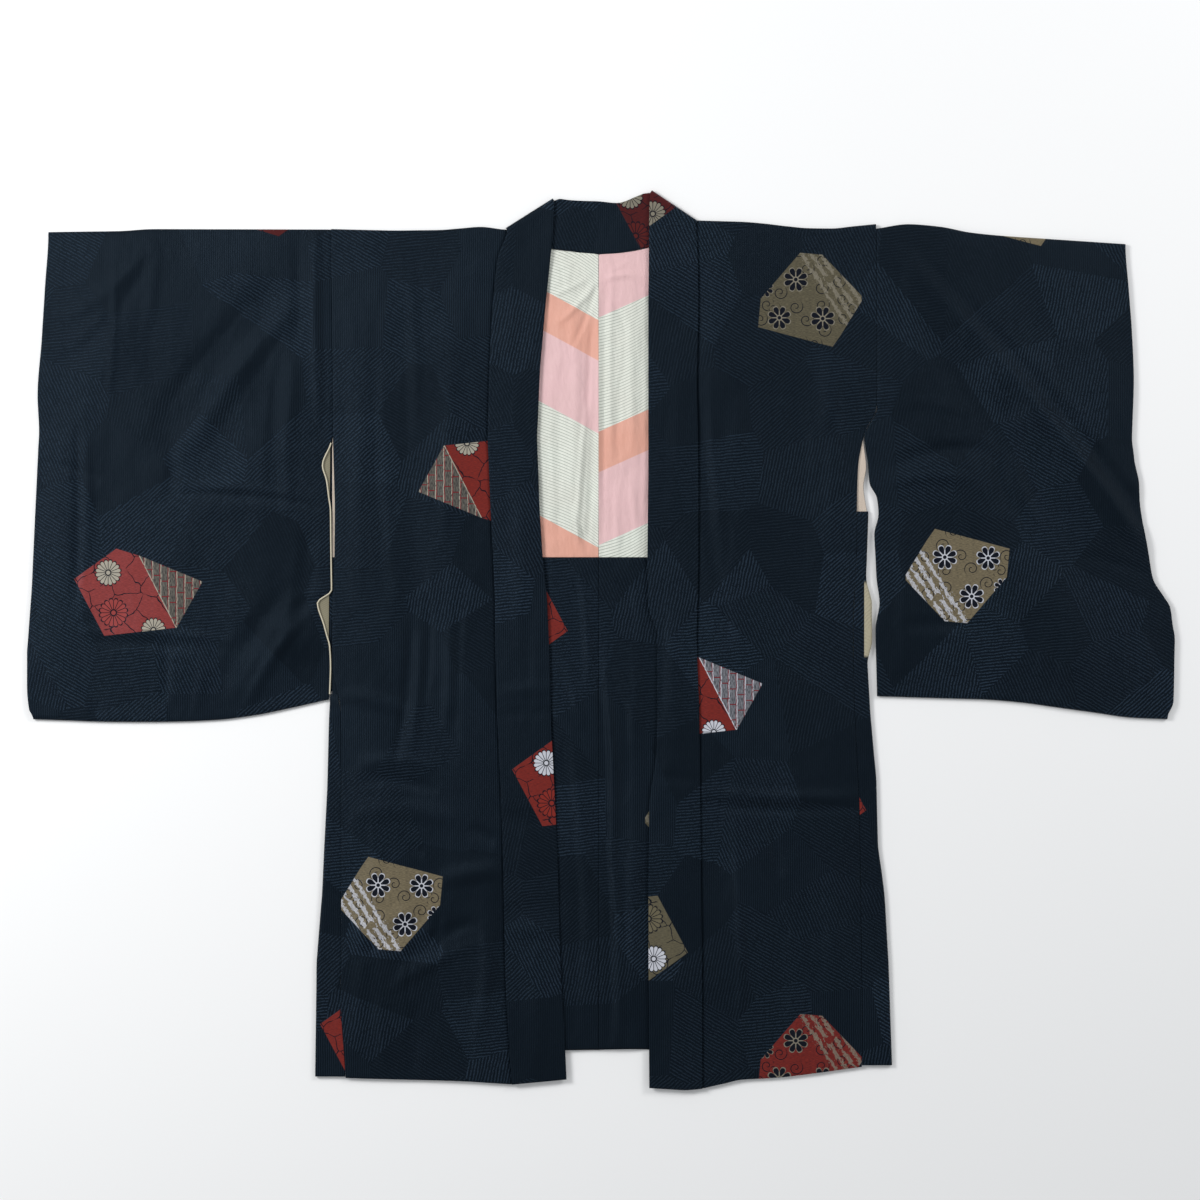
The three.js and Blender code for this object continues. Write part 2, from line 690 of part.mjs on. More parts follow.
function collar(leftBody, rightBody) {
  const leftFold = NECK_BAND[0];
  const rightFold = NECK_BAND.at(-1);
  const left = collarFront(leftBody, LEFT, HEM_LEFT, leftFold, -1);
  const right = collarFront(rightBody, RIGHT, HEM_RIGHT, rightFold, 1);
  const rows = [
    ...looseRows(left, COLLAR_Z, COLLAR_SLACK, COLLAR_FOLDS).reverse(),
    ...slantTurn(leftFold, -1),
    ...flatRows(NECK_BAND.map(neckPlaces), NECK_Z, DOWN),
    ...slantTurn(rightFold, 1).reverse(),
    ...looseRows(right, COLLAR_Z, COLLAR_SLACK, COLLAR_FOLDS),
  ];
  add("collar", wall(rows, COLLAR), NAVY);
}

const leftBody = bodyHalf("body_left", LEFT, BACK_SIDE_LEFT, NECK_LEFT, SHOULDER_LEFT, HEM_LEFT, -1);
const rightBody = bodyHalf("body_right", RIGHT, BACK_SIDE_RIGHT, NECK_RIGHT, SHOULDER_RIGHT, HEM_RIGHT, 1);

const level = (down) => [
  { x: -HALF_REACH, down },
  { x: HALF_REACH, down },
];
const liningEnd = level(FACING_TOP - SEAM);
const facingTop = level(FACING_TOP + SEAM);
const facingEnd = lowered(BACK_HEM, -FACING_HEM);
insideBack("lining_left", BACK_SIDE_LEFT, NECK_LEFT, -1, level(LINING_TOP.left), liningEnd, SHELL_PINK);
insideBack("lining_right", BACK_SIDE_RIGHT, NECK_RIGHT, 1, level(LINING_TOP.right), liningEnd, SHELL_PINK);
insideBack("facing_left", BACK_SIDE_LEFT, NECK_LEFT, -1, facingTop, facingEnd, FACED);
insideBack("facing_right", BACK_SIDE_RIGHT, NECK_RIGHT, 1, facingTop, facingEnd, FACED);

sleeve("sleeve_left", SLEEVE_LEFT, -1);
sleeve("sleeve_right", SLEEVE_RIGHT, 1);
gusset("gusset_left", leftBody, GUSSET_LEFT, HEM_LEFT, -1);
gusset("gusset_right", rightBody, GUSSET_RIGHT, HEM_RIGHT, 1);
collar(leftBody, rightBody);

// The strip of the left sleeve's lining that shows at its slit, on the sleeve's back layer.
const slitBack = trimmed(SLEEVE_LEFT.backSlit, SLIT_LINING.top, SLIT_LINING.bottom);
const stripRows = patch({
  from: beside(slitBack, -SLIT_LINING.width),
  to: beside(slitBack, -SLIT_LINING.inset),
  top: level(SLIT_LINING.top),
  bottom: level(SLIT_LINING.bottom),
  columns: 2,
  spacing: FLAT_ROW_SPACING,
});
add("sleeve_lining_left", wall(flatRows(stripRows, LINING_Z, UP), LINING), KHAKI);

// The origin is the middle of the whole jacket's underside.
const middle = new THREE.Box3().setFromObject(jacket).getCenter(new THREE.Vector3());
jacket.position.set(-middle.x, -middle.y, 0);

export default jacket;
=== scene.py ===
# %% [markdown]
# # A haori, laid flat
# A haori is the open jacket that is worn over a kimono. It is sewn from straight lengths of a
# narrow silk cloth, so laid flat it is a set of rectangles: two body halves that run over the
# shoulder without a seam, two hanging sleeves, two slim side gussets, and one long collar.
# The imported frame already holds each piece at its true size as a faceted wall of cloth. Here
# each wall becomes fine, creased cloth, and then gets its woven finish.

import math

import bmesh
import bpy
import numpy as np
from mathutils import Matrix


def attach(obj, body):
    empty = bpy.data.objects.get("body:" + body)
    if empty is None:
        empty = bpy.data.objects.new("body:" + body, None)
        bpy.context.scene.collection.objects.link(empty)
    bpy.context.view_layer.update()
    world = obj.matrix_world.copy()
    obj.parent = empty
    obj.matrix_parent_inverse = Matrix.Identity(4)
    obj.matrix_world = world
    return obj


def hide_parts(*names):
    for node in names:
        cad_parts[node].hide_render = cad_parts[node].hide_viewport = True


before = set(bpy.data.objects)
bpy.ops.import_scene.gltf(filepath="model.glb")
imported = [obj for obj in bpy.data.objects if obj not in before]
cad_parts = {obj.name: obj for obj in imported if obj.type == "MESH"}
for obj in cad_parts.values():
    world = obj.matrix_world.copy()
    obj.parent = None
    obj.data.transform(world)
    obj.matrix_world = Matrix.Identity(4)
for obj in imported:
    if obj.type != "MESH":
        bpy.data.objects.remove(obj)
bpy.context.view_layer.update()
MM = 0.001
print("frame pieces:", ", ".join(sorted(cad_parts)))

# %% [markdown]
# ## Camera
# The jacket is seen from straight above. The camera is far away with a long lens, because a
# near camera would make the raised folds lean outwards. It looks at a point a little above the
# jacket's middle, so that there is more empty floor at the neck than at the hem.

# %% Camera
VIEW_WIDTH = 1.32
VIEW_POINT = (-0.001, 0.044)
CAMERA_HEIGHT = 3.2

camera_data = bpy.data.cameras.new("overhead")
camera_data.sensor_width = 36
camera_data.lens = camera_data.sensor_width * CAMERA_HEIGHT / VIEW_WIDTH
camera_data.clip_end = 20
camera = bpy.data.objects.new("overhead", camera_data)
camera.location = (*VIEW_POINT, CAMERA_HEIGHT)
bpy.context.scene.collection.objects.link(camera)
bpy.context.scene.camera = camera
print(f"lens {camera_data.lens:.0f} mm")

# %% [markdown]
# ## Floor and light
# Dark silk shows its folds only by what it reflects. So one light stands at the upper left, at
# such a height that slopes of ten or twenty degrees mirror it, and each fold gets a bright side
# and a dark side. A weaker one does the same from the right for the folds that run the other
# way, and an even pale sky keeps the floor white.

# %% Floor
FLOOR_DROP = 0.4 * MM
floor_mesh = bpy.data.meshes.new("floor")
floor_mesh.from_pydata(
    [(-6, -6, -FLOOR_DROP), (6, -6, -FLOOR_DROP), (6, 6, -FLOOR_DROP), (-6, 6, -FLOOR_DROP)],
    [],
    [(0, 1, 2, 3)],
)
floor = bpy.data.objects.new("floor", floor_mesh)
bpy.context.scene.collection.objects.link(floor)
floor_paint = bpy.data.materials.new("floor_paint")
floor_paint.use_nodes = True
paint = floor_paint.node_tree.nodes["Principled BSDF"]
paint.inputs["Base Color"].default_value = (0.95, 0.95, 0.95, 1)
paint.inputs["Roughness"].default_value = 0.9
paint.inputs["Specular IOR Level"].default_value = 0.1
floor_mesh.materials.append(floor_paint)

# %% Lights
scene = bpy.context.scene
scene.view_settings.view_transform = "Standard"
scene.world = bpy.data.worlds.new("studio")
scene.world.use_nodes = True
sky = scene.world.node_tree.nodes["Background"]
sky.inputs["Color"].default_value = (0.95, 0.975, 1.0, 1)
sky.inputs["Strength"].default_value = 0.45


def softbox(name, place, aim, size, power):
    """A square studio light at place that shines at aim."""
    data = bpy.data.lights.new(name, "AREA")
    data.size = size
    data.energy = power
    light = bpy.data.objects.new(name, data)
    light.location = place
    direction = np.array(aim) - np.array(place)
    light.rotation_euler = (
        math.acos(-direction[2] / np.linalg.norm(direction)),
        0,
        math.atan2(direction[1], direction[0]) - math.pi / 2,
    )
    bpy.context.scene.collection.objects.link(light)


softbox("window", (-1.9, 0.9, 1.55), (0, -0.05, 0), 0.8, 44)
softbox("fill", (1.9, 1.5, 1.6), (0.1, 0, 0), 0.9, 25)
print("two softboxes and a pale sky")

# %% [markdown]
# ## From a faceted wall to a net of points
# Each wall in the frame was made round a net of points, so its outer side is a regular net of
# triangles. We could subdivide those triangles, but then creases would follow their diagonals.
# It is better to find the net again: every triangle has sides in the same three directions, so
# walking from one triangle to the next gives each corner a row and a column. The direction that
# never lies on the rim is the diagonal.

# %% Find the two smooth sides of a wall
MERGE = 0.01 * MM
SIDE_ANGLE = math.radians(60)


def wall_sides(node):
    """The two large sides of a node's wall, each a list of faces, and the mesh that holds them."""
    mesh = bmesh.new()
    mesh.from_mesh(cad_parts[node].data)
    bmesh.ops.remove_doubles(mesh, verts=mesh.verts, dist=MERGE)
    mesh.normal_update()
    seen, sides = set(), []
    for first in mesh.faces:
        if first in seen:
            continue
        seen.add(first)
        side, waiting = [], [first]
        while waiting:
            face = waiting.pop()
            side.append(face)
            for edge in face.edges:
                if len(edge.link_faces) == 2 and edge.calc_face_angle() < SIDE_ANGLE:
                    for other in edge.link_faces:
                        if other not in seen:
                            seen.add(other)
                            waiting.append(other)
        sides.append(side)
    sides.sort(key=lambda side: -sum(face.calc_area() for face in side))
    return mesh, sides[:2]


# %% Number its corners by row and column
STEPS = ((1, 0), (0, 1), (-1, -1))
RENUMBER = {0: lambda i, j: (j - i, -i), 1: lambda i, j: (i - j, -j), 2: lambda i, j: (i, j)}


def net_of(side):
    """A side's points as an array of rows and columns, and whether its rows close on themselves."""
    inside = set(side)
    start = side[0]
    place = {}
    kind = {start: (0, 1)}
    for loop, spot in zip(start.loops, ((0, 0), (1, 0), (1, 1))):
        place[loop.vert] = spot
    rim, length = set(), [0.0, 0.0, 0.0]
    waiting = [start]
    while waiting:
        face = waiting.pop()
        first, sign = kind[face]
        for k, loop in enumerate(face.loops):
            way = (first + k) % 3
            length[way] += loop.edge.calc_length()
            others = [f for f in loop.edge.link_faces if f is not face and f in inside]
            if not others:
                rim.add(way)
                continue
            other = others[0]
            if other in kind:
                continue
            loops = list(other.loops)
            shared = next(n for n, l in enumerate(loops) if l.edge is loop.edge)
            kind[other] = ((way - shared) % 3, -sign)
            near, third = loops[(shared + 1) % 3].vert, loops[(shared + 2) % 3].vert
            step = STEPS[(way + 1) % 3]
            spot = (place[near][0] - sign * step[0], place[near][1] - sign * step[1])
            place.setdefault(third, spot)
            waiting.append(other)
    inner = [way for way in range(3) if way not in rim]
    diagonal = max(inner, key=lambda way: length[way])
    spots = {vert: RENUMBER[diagonal](*spot) for vert, spot in place.items()}
    low = [min(spot[axis] for spot in spots.values()) for axis in (0, 1)]
    count = [max(spot[axis] for spot in spots.values()) - low[axis] + 1 for axis in (0, 1)]
    closed = len(inner) == 2
    if closed:
        across = min((0, 1), key=lambda axis: count[axis])
        count[1 - across] = len(spots) // count[across]
    net = np.full((count[0], count[1], 3), np.nan)
    for vert, spot in spots.items():
        net[(spot[0] - low[0]) % count[0], (spot[1] - low[1]) % count[1]] = vert.co
    if closed and across == 0:
        net = net.transpose(1, 0, 2)
    return net, closed


# %% Read each node's outer side
def line_lengths(net, axis):
    """Mean length of the lines that run along an axis of a net."""
    return np.linalg.norm(np.diff(net, axis=axis), axis=-1).sum(axis=axis).mean()


def read_net(node, looks_up=False):
    """A node's outer side as a net whose rows follow one another along its longer way."""
    mesh, sides = wall_sides(node)
    heights = [np.mean([face.calc_center_median().z for face in side]) for side in sides]
    lowest = [min(v.co.z for face in side for v in face.verts) for side in sides]
    pick = int(np.argmax(heights)) if looks_up else int(np.argmin(lowest))
    net, closed = net_of(sides[pick])
    mesh.free()
    if not closed and line_lengths(net, 0) < line_lengths(net, 1):
        net = net.transpose(1, 0, 2)
    if np.isnan(net).any():
        raise ValueError(f"{node}: its side isn't a regular net")
    return net, closed


nets = {}
for node in sorted(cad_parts):
    flat_sheet = "lining" in node or "facing" in node
    nets[node] = read_net(node, looks_up=flat_sheet)
    rows, columns = nets[node][0].shape[:2]
    print(f"{node}: {rows} rows of {columns}, {'a tube' if nets[node][1] else 'open'}")

# %% [markdown]
# ## From the net to fine cloth
# The net is coarse: its rows are several centimetres apart. Subdivision would round off the
# corners of the cut, so new rows and columns are put on smooth lines through the old points
# instead. The lines are monotone cubics, which never swing past a point. That matters at a
# pressed fold, where rows a millimetre apart meet rows a hand's width apart.

# %% Put fine rows and columns between the net's
def smooth_rows(net, spacing, closed=False):
    """The net with new rows no further apart than spacing, on smooth lines through its own."""
    rows = np.concatenate([net[-2:], net, net[:3]]) if closed else net
    gaps = np.linalg.norm(np.diff(rows, axis=0), axis=-1).mean(axis=1)
    slopes = np.diff(rows, axis=0) / gaps[:, None, None]
    before, after = slopes[:-1], slopes[1:]
    near, far = gaps[:-1, None, None], gaps[1:, None, None]
    same_way = before * after > 0
    with np.errstate(divide="ignore", invalid="ignore"):
        mean = 3 * (near + far) / ((2 * far + near) / before + (far + 2 * near) / after)
    tangents = np.concatenate([slopes[:1], np.where(same_way, mean, 0), slopes[-1:]])
    first, last = (2, len(net) + 2) if closed else (0, len(net) - 1)
    fine = []
    for row in range(first, last):
        steps = math.ceil(gaps[row] / spacing)
        for t in np.arange(steps) / steps:
            fine.append(
                rows[row] * (1 + 2 * t) * (1 - t) ** 2
                + rows[row + 1] * t * t * (3 - 2 * t)
                + tangents[row] * gaps[row] * t * (1 - t) ** 2
                - tangents[row + 1] * gaps[row] * t * t * (1 - t)
            )
    if not closed:
        fine.append(rows[-1])
    return np.array(fine)


def fine_net(node, along, across):
    """A node's net with fine rows and columns."""
    net, closed = nets[node]
    net = smooth_rows(net, along, closed)
    return smooth_rows(net.transpose(1, 0, 2), across).transpose(1, 0, 2)


# %% [markdown]
# ## Creases
# Cloth that was folded away and then laid out keeps soft folds. A cloth simulation would drop
# it flatter than it is and take the folds away, so they are listed in tables instead: each row
# of a table is one fold, with its two ends, how far it bends to the side, its half width and its height.
# A negative height is a trough. Rows are in millimetres, seen from above, with x to the right
# and y towards the neck. Very small, slow waves lie over everything, because no cloth is flat.

# %% A fold's height
def fold_heights(table, x, y):
    """How high the folds of a table stand at points x, y, all in millimetres."""
    height = np.zeros_like(x)
    for x0, y0, x1, y1, bend, width, tall in table:
        run_x, run_y = x1 - x0, y1 - y0
        length = math.hypot(run_x, run_y)
        along = ((x - x0) * run_x + (y - y0) * run_y) / length**2
        inside = np.clip(along, 0, 1)
        bow = bend * 4 * inside * (1 - inside)
        across = ((y - y0) * run_x - (x - x0) * run_y) / length - bow
        crest = np.cos(np.clip(across / width, -1, 1) * math.pi / 2) ** 2
        height += tall * crest * np.sin(math.pi * inside) ** 0.7
    return height


def slow_waves(x, y):
    """Very soft uneven waves, longer down the cloth than across it, within one millimetre."""
    drift = 9 * np.sin(y / 61 + 0.6) + 5 * np.sin(y / 23 + x / 87)
    wide = np.sin((x + drift) / 17.5 + 0.4) * np.sin(y / 74 + x / 133 + 1.1)
    slanting = np.sin((x * 0.8 + y * 0.6 + drift) / 21 + 2.0) * np.sin(y / 39 - x / 58)
    small = np.sin((x + 2 * drift) / 6.3) * np.sin(y / 13.7 + x / 31)
    return 0.34 * wide + 0.26 * slanting + 0.09 * small


# %% The folds of the fronts and of the sleeves' upper layers
# x, y, to x, to y, bend, half width, height
UPPER_FOLDS = [
    # left sleeve: the standing fold below the slit, the long valley, pressed creases, soft arcs
    (-312, 42, -391, -76, -6, 11, 2.2),
    (-332, 66, -420, -60, -6, 20, -1.6),
    (-313, 456, -309, 236, -3, 8, 2.4),
    (-304, 450, -303, 232, 0, 5, -1.4),
    (-334, 452, -337, 300, 3, 11, -1.2),
    (-340, 400, -500, 190, -12, 30, -2.8),
    (-326, 380, -452, 205, -9, 20, 2.6),
    (-476, 226, -474, 150, 5, 14, -1.4),
    (-534, 428, -541, 262, 3, 6, 1.1),
    (-576, 240, -579, 20, 3, 7, -1.5),
    (-566, 236, -566, 60, 3, 9, 0.9),
    (-616, 197, -542, 175, 2, 6, -1.0),
    (-480, 160, -300, 144, 6, 6, -1.3),
    (-470, 168, -310, 155, 6, 8, 0.9),
    (-604, 352, -490, 447, -16, 14, 1.2),
    (-600, 300, -505, 410, -14, 12, -0.9),
    (-492, 446, -502, 330, 4, 13, 1.0),
    (-334, 330, -343, 128, -5, 12, 1.5),
    (-350, 320, -360, 150, -5, 10, -1.0),
    (-322, 120, -340, -14, 6, 15, -2.0),
    (-580, 10, -397, -2, 4, 8, 1.2),
    (-566, -4, -430, -12, 4, 8, -0.9),
    (-479, 4, -480, -74, 2, 9, -1.1),
    (-440, -20, -446, -82, 2, 10, 0.9),
    (-602, -30, -560, -80, 6, 10, 0.9),
    # left front: long soft folds above, a bunch of them that runs together, short ones below
    (-277, 380, -268, 24, 5, 15, 1.2),
    (-247, 380, -236, 40, -6, 12, -1.1),
    (-212, 420, -205, 190, 5, 12, 1.0),
    (-168, 300, -176, 96, 5, 12, 0.9),
    (-209, 20, -227, -138, 4, 9, -2.2),
    (-199, 10, -210, -128, 4, 8, 1.5),
    (-190, 50, -194, -70, 3, 8, -1.6),
    (-166, 20, -171, -104, 3, 10, 1.7),
    (-152, 70, -158, -96, -3, 9, -1.3),
    (-170, -76, -156, -112, 2, 7, -1.3),
    (-268, -136, -180, -140, 6, 12, 1.9),
    (-268, -154, -178, -166, 6, 11, -1.9),
    (-212, -226, -194, -237, 2, 8, -1.4),
    (-146, -206, -117, -225, 3, 12, -2.0),
    (-134, -308, -232, -364, -6, 12, -2.3),
    (-120, -330, -236, -386, -6, 12, 1.6),
    (-178, -300, -180, -352, 1, 6, -1.6),
    (-188, -296, -191, -352, 1, 7, 1.0),
    (-210, -350, -212, -392, 1, 6, -1.2),
    (-262, -250, -272, -460, 5, 14, 1.0),
    (-178, -264, -108, -252, 2, 15, 2.2),
    (-272, -352, -190, -306, 3, 11, -1.5),
    (-276, -330, -200, -292, 3, 12, 1.5),
    (-124, -300, -132, -430, 3, 12, 1.6),
    (-290, -60, -200, -84, 5, 14, 1.4),
    (-276, -190, -150, -200, 8, 16, 1.5),
    (-246, -380, -240, -476, 2, 11, 1.1),
    (-206, -400, -210, -482, 2, 10, -1.0),
    (-140, -400, -134, -484, 2, 12, 1.2),
    # right front: nearly flat, one long crease beside the collar, a level one low down
    (112, 270, 134, 40, -8, 11, -1.6),
    (119, 300, 150, 60, -8, 9, 0.9),
    (151, 266, 145, 196, 2, 15, 1.2),
    (134, 144, 141, 84, 2, 7, -1.2),
    (122, 36, 148, -2, 2, 9, -1.3),
    (206, 300, 222, 120, 8, 18, -0.9),
    (250, 330, 246, 60, 6, 16, 1.2),
    (170, -40, 198, -120, -4, 10, -1.2),
    (108, -166, 286, -170, -4, 10, 1.7),
    (108, -180, 286, -184, -4, 8, -1.6),
    (178, -176, 196, -260, 3, 9, -1.4),
    (146, -200, 153, -470, 4, 8, 1.3),
    (188, -220, 196, -440, 5, 14, -1.1),
    (250, -200, 244, -470, 6, 15, 1.1),
    (216, -360, 214, -470, 2, 12, 0.9),
    # right sleeve: the long slanting fold, the curved one above the pattern, small ones below
    (322, 432, 604, 92, 10, 20, 4.6),
    (356, 410, 612, 110, 8, 16, -2.8),
    (312, 380, 520, 110, 12, 24, -2.0),
    (318, 190, 432, 206, 10, 13, -2.4),
    (318, 172, 414, 176, 6, 12, 1.7),
    (330, 120, 330, -40, 4, 14, 1.4),
    (434, 206, 456, 138, -5, 13, -2.2),
    (452, 214, 478, 128, -5, 12, 1.7),
    (330, 262, 420, 246, 4, 10, 0.9),
    (500, 12, 494, -66, 2, 10, -1.4),
    (486, 12, 478, -60, 2, 9, 1.0),
    (594, 10, 600, -70, 2, 9, 1.5),
    (580, 40, 586, -60, 2, 9, -1.2),
    (326, 14, 442, 8, 6, 12, -1.2),
    (520, 92, 606, 70, 4, 9, -1.1),
    (336, 420, 344, 250, 4, 12, 1.0),
    (498, 420, 506, 300, 4, 13, 0.8),
]
print(f"{len(UPPER_FOLDS)} folds on the fronts, sleeves and gussets")

# %% The folds of the collar's front stretches
# x, y, to x, to y, bend, half width, height
COLLAR_FOLDS = [
    (-118, -60, -50, -54, 3, 12, 0.9),
    (-116, -84, -50, -80, 3, 9, -0.9),
    (-112, -196, -46, -204, 3, 14, -0.9),
    (-108, -300, -42, -296, 3, 14, -1.1),
    (-108, -322, -42, -322, 3, 12, 1.0),
    (-96, 210, -88, -20, 4, 16, 0.9),
    (-80, 60, -74, -120, -3, 9, -0.7),
    (-76, -330, -70, -480, 2, 14, 0.8),
    (82, 60, 88, -120, -4, 13, 1.0),
    (66, 20, 60, -110, 3, 9, -0.8),
    (84, 330, 78, 120, 3, 14, 0.7),
    (54, -150, 106, -156, 2, 11, -0.7),
    (74, -260, 80, -470, 2, 15, 0.8),
]
print(f"{len(COLLAR_FOLDS)} folds on the collar")

# %% The folds of the inside back, between the two fronts
# x, y, to x, to y, bend, half width, height
INSIDE_FOLDS = [
    # the left lining panel: rays from the neck's middle, long ones down, a pleat at the bottom
    (-3, 396, -50, 346, 3, 5, 1.5),
    (-4, 392, -34, 318, 2, 5, -1.2),
    (-14, 398, -62, 376, 2, 4, 1.1),
    (-20, 420, -54, 406, 1, 3, 0.8),
    (-30, 380, -33, 110, 4, 10, 1.2),
    (-48, 300, -50, 110, 3, 9, -0.9),
    (-60, 260, -52, 96, 2, 7, 1.0),
    (-9, 350, -14, 230, -2, 5, -1.5),
    (-15, 262, -27, 92, -2, 5, 1.9),
    (-9, 250, -16, 96, 2, 5, -1.7),
    (-30, 150, -18, 92, -3, 4, 1.5),
    (-24, 128, -14, 94, 1, 3, -1.0),
    # the seam's allowance and the right panel
    (-3, 405, -3, 90, 0, 4, 1.6),
    (4, 400, 3, 90, 0, 3, -0.8),
    (13, 420, 12, 190, -2, 5, 1.1),
    (2, 396, 44, 400, 3, 5, 1.2),
    (2, 390, 30, 330, 3, 6, -0.9),
    (8, 404, 40, 424, -1, 4, 0.9),
    (29, 370, 33, 190, 3, 8, 1.2),
    (22, 300, 20, 190, -2, 6, -0.9),
    (45, 370, 44, 150, 2, 6, -0.8),
    (30, 180, 40, 96, 3, 7, 1.1),
    (16, 170, 18, 92, 1, 6, 0.9),
    (46, 150, 44, 92, -1, 5, 0.9),
    # the facing below: long soft ones that run towards the hem
    (-24, 84, -14, -60, 4, 8, 1.7),
    (-8, 40, 6, -190, 3, 9, -1.4),
    (2, -20, 14, -240, 4, 8, 2.3),
    (10, -200, 20, -450, 4, 8, 2.3),
    (4, -210, 8, -452, 3, 7, -1.2),
    (24, -60, 26, -180, 3, 8, -1.2),
    (40, 60, 36, -120, 4, 12, 1.4),
    (22, 74, 44, -44, 4, 9, -1.0),
    (10, -30, 40, -100, 4, 9, 1.3),
    (-46, -20, -20, -96, 4, 10, 1.4),
    (-36, -90, -14, -330, 5, 13, 1.8),
    (-26, -240, -34, -440, 4, 12, -1.0),
    (36, -150, 30, -420, 4, 13, 1.4),
]
print(f"{len(INSIDE_FOLDS)} folds inside the back")

# %% [markdown]
# ## Which fold goes where
# A piece that runs over the shoulder has an upper and a lower layer. Only the upper one takes
# the tall folds, and it never sinks into what is under it. The lower one rests on the surface:
# its small wrinkles only rise, into the narrow room below the lining. The inside back has room
# only between the two fronts, where nothing lies on it.

# %% Lift the points of each layer
FOLDS_TALLER = 1.4  # all folds of the upper layers are this much taller than in their tables
INSIDE_LIFT = 1.6  # the same for the inside back, and its own rise between the fronts, in mm
INSIDE_MOST = 5.2
WRINKLE_MOST = 0.8


def ramp(value, low, high):
    """0 below low, 1 above high, and a smooth rise between."""
    t = np.clip((value - low) / (high - low), 0, 1)
    return t * t * (3 - 2 * t)


def raise_layers(net, table, floor_height, waves=1.0):
    """Adds a table's folds to the upper layer of a net in metres, and wrinkles to the lower."""
    x, y, z = (net[..., axis] / MM for axis in range(3))
    upper = ramp(z, floor_height - 1.5, floor_height)
    folds = FOLDS_TALLER * fold_heights(table, x, y) + waves * slow_waves(x, y)
    lowest_change = floor_height - 0.5 - z
    change = upper * np.maximum(folds, lowest_change)
    lower = 1 - ramp(z, 0.1, 1.2)
    wrinkles = np.maximum(slow_waves(x * 1.3 + 40, y * 0.8 - 90), 0) * 1.6
    raised = net.copy()
    raised[..., 2] += (change + lower * np.minimum(wrinkles, WRINKLE_MOST)) * MM
    return raised


def raise_inside(net):
    """The inside back stands up a little between the fronts, and is creased there."""
    x, y, z = (net[..., axis] / MM for axis in range(3))
    free = ramp(x, -66, -44) * (1 - ramp(x, 34, 54)) * (1 - ramp(y, 396, 424))
    side = ramp(x, 268, 276) * ramp(y, 120, 140) * (1 - ramp(y, 215, 235))
    folds = fold_heights(INSIDE_FOLDS, x, y) + slow_waves(x, y)
    change = free * np.clip(INSIDE_LIFT * (1 + folds), 0, INSIDE_MOST)
    raised = net.copy()
    raised[..., 2] += (change + side * 0.4) * MM
    return raised


# %% [markdown]
# ## Seams
# The frame keeps its pieces a third of a millimetre apart, and light would shine through. On
# the real jacket an edge is turned in and sewn under its neighbour. So the last row or column of
# one piece is slid a few millimetres in under the next piece, and a little down or up to clear it.

# %% Slide one edge under the next
LAYER_BORDER = 2.0  # a point higher than this, in millimetres, is on the front layer
BELOW_FRONT = -0.9
ABOVE_BACK = 0.8


def layer_shift(z):
    """How far, in millimetres, an edge at height z moves down or up to clear its neighbour."""
    return np.where(z > LAYER_BORDER, BELOW_FRONT, ABOVE_BACK)


def tuck(net, reach, front_from, back_from):
    """Slides a sleeve's inner edge, in millimetres, in under the body's edge, as at a seam.

    The front layer is sewn above front_from, and the back layer above back_from.
    """
    y, z = net[:, 0, 1] / MM, net[:, 0, 2] / MM
    low = np.where(z > LAYER_BORDER, front_from, back_from)
    share = ramp(y, low - 5, low)
    net[:, 0, 0] += share * reach * MM
    net[:, 0, 2] += share * layer_shift(z) * MM
    return net


def tuck_top(net, reach):
    """Slides a gusset's top end up between the body's layers."""
    top = 0 if net[0, :, 1].mean() > net[-1, :, 1].mean() else -1
    net[top, :, 1] += reach * MM
    net[top, :, 2] += layer_shift(net[top, :, 2] / MM) * MM
    return net


def tuck_front(net, reach):
    """The same for a front's edge along the collar, on the upper layer only."""
    upper = ramp(net[:, -1, 2] / MM, 2.5, 3.5)
    at_shoulder = 1 + 1.8 * ramp(net[:, -1, 1] / MM, 380, 440)
    net[:, -1, 0] += upper * reach * at_shoulder * MM
    net[:, -1, 2] += upper * BELOW_FRONT * MM
    return net


def tuck_back(net, reach):
    """The same for the left back's edge at the centre seam, on the layer that lies lowest."""
    lower = 1 - ramp(net[:, -1, 2] / MM, 0.9, 1.6)
    below_neck = 1 - ramp(net[:, -1, 1] / MM, 405, 415)
    net[:, -1, 0] += lower * below_neck * reach * MM
    net[:, -1, 2] += lower * below_neck * 0.75 * MM
    return net


# %% [markdown]
# ## Making a sheet
# Each sheet is a mesh of one outer side. Its UV map is the cloth itself, in metres: u runs
# across, and v runs down the length and on over the shoulder, so that a woven pattern isn't
# squeezed where the cloth turns over. Solidify then gives the sheet its thickness, and a small
# Bevel rounds the cut edge, which would otherwise catch the light like card.

# %% Where a point lies on the flat cloth
SHOULDER, SIDE, COLLAR_BAND, PLAIN = "shoulder", "side", "collar band", "plain"
BAND_SHIFT = 1.0


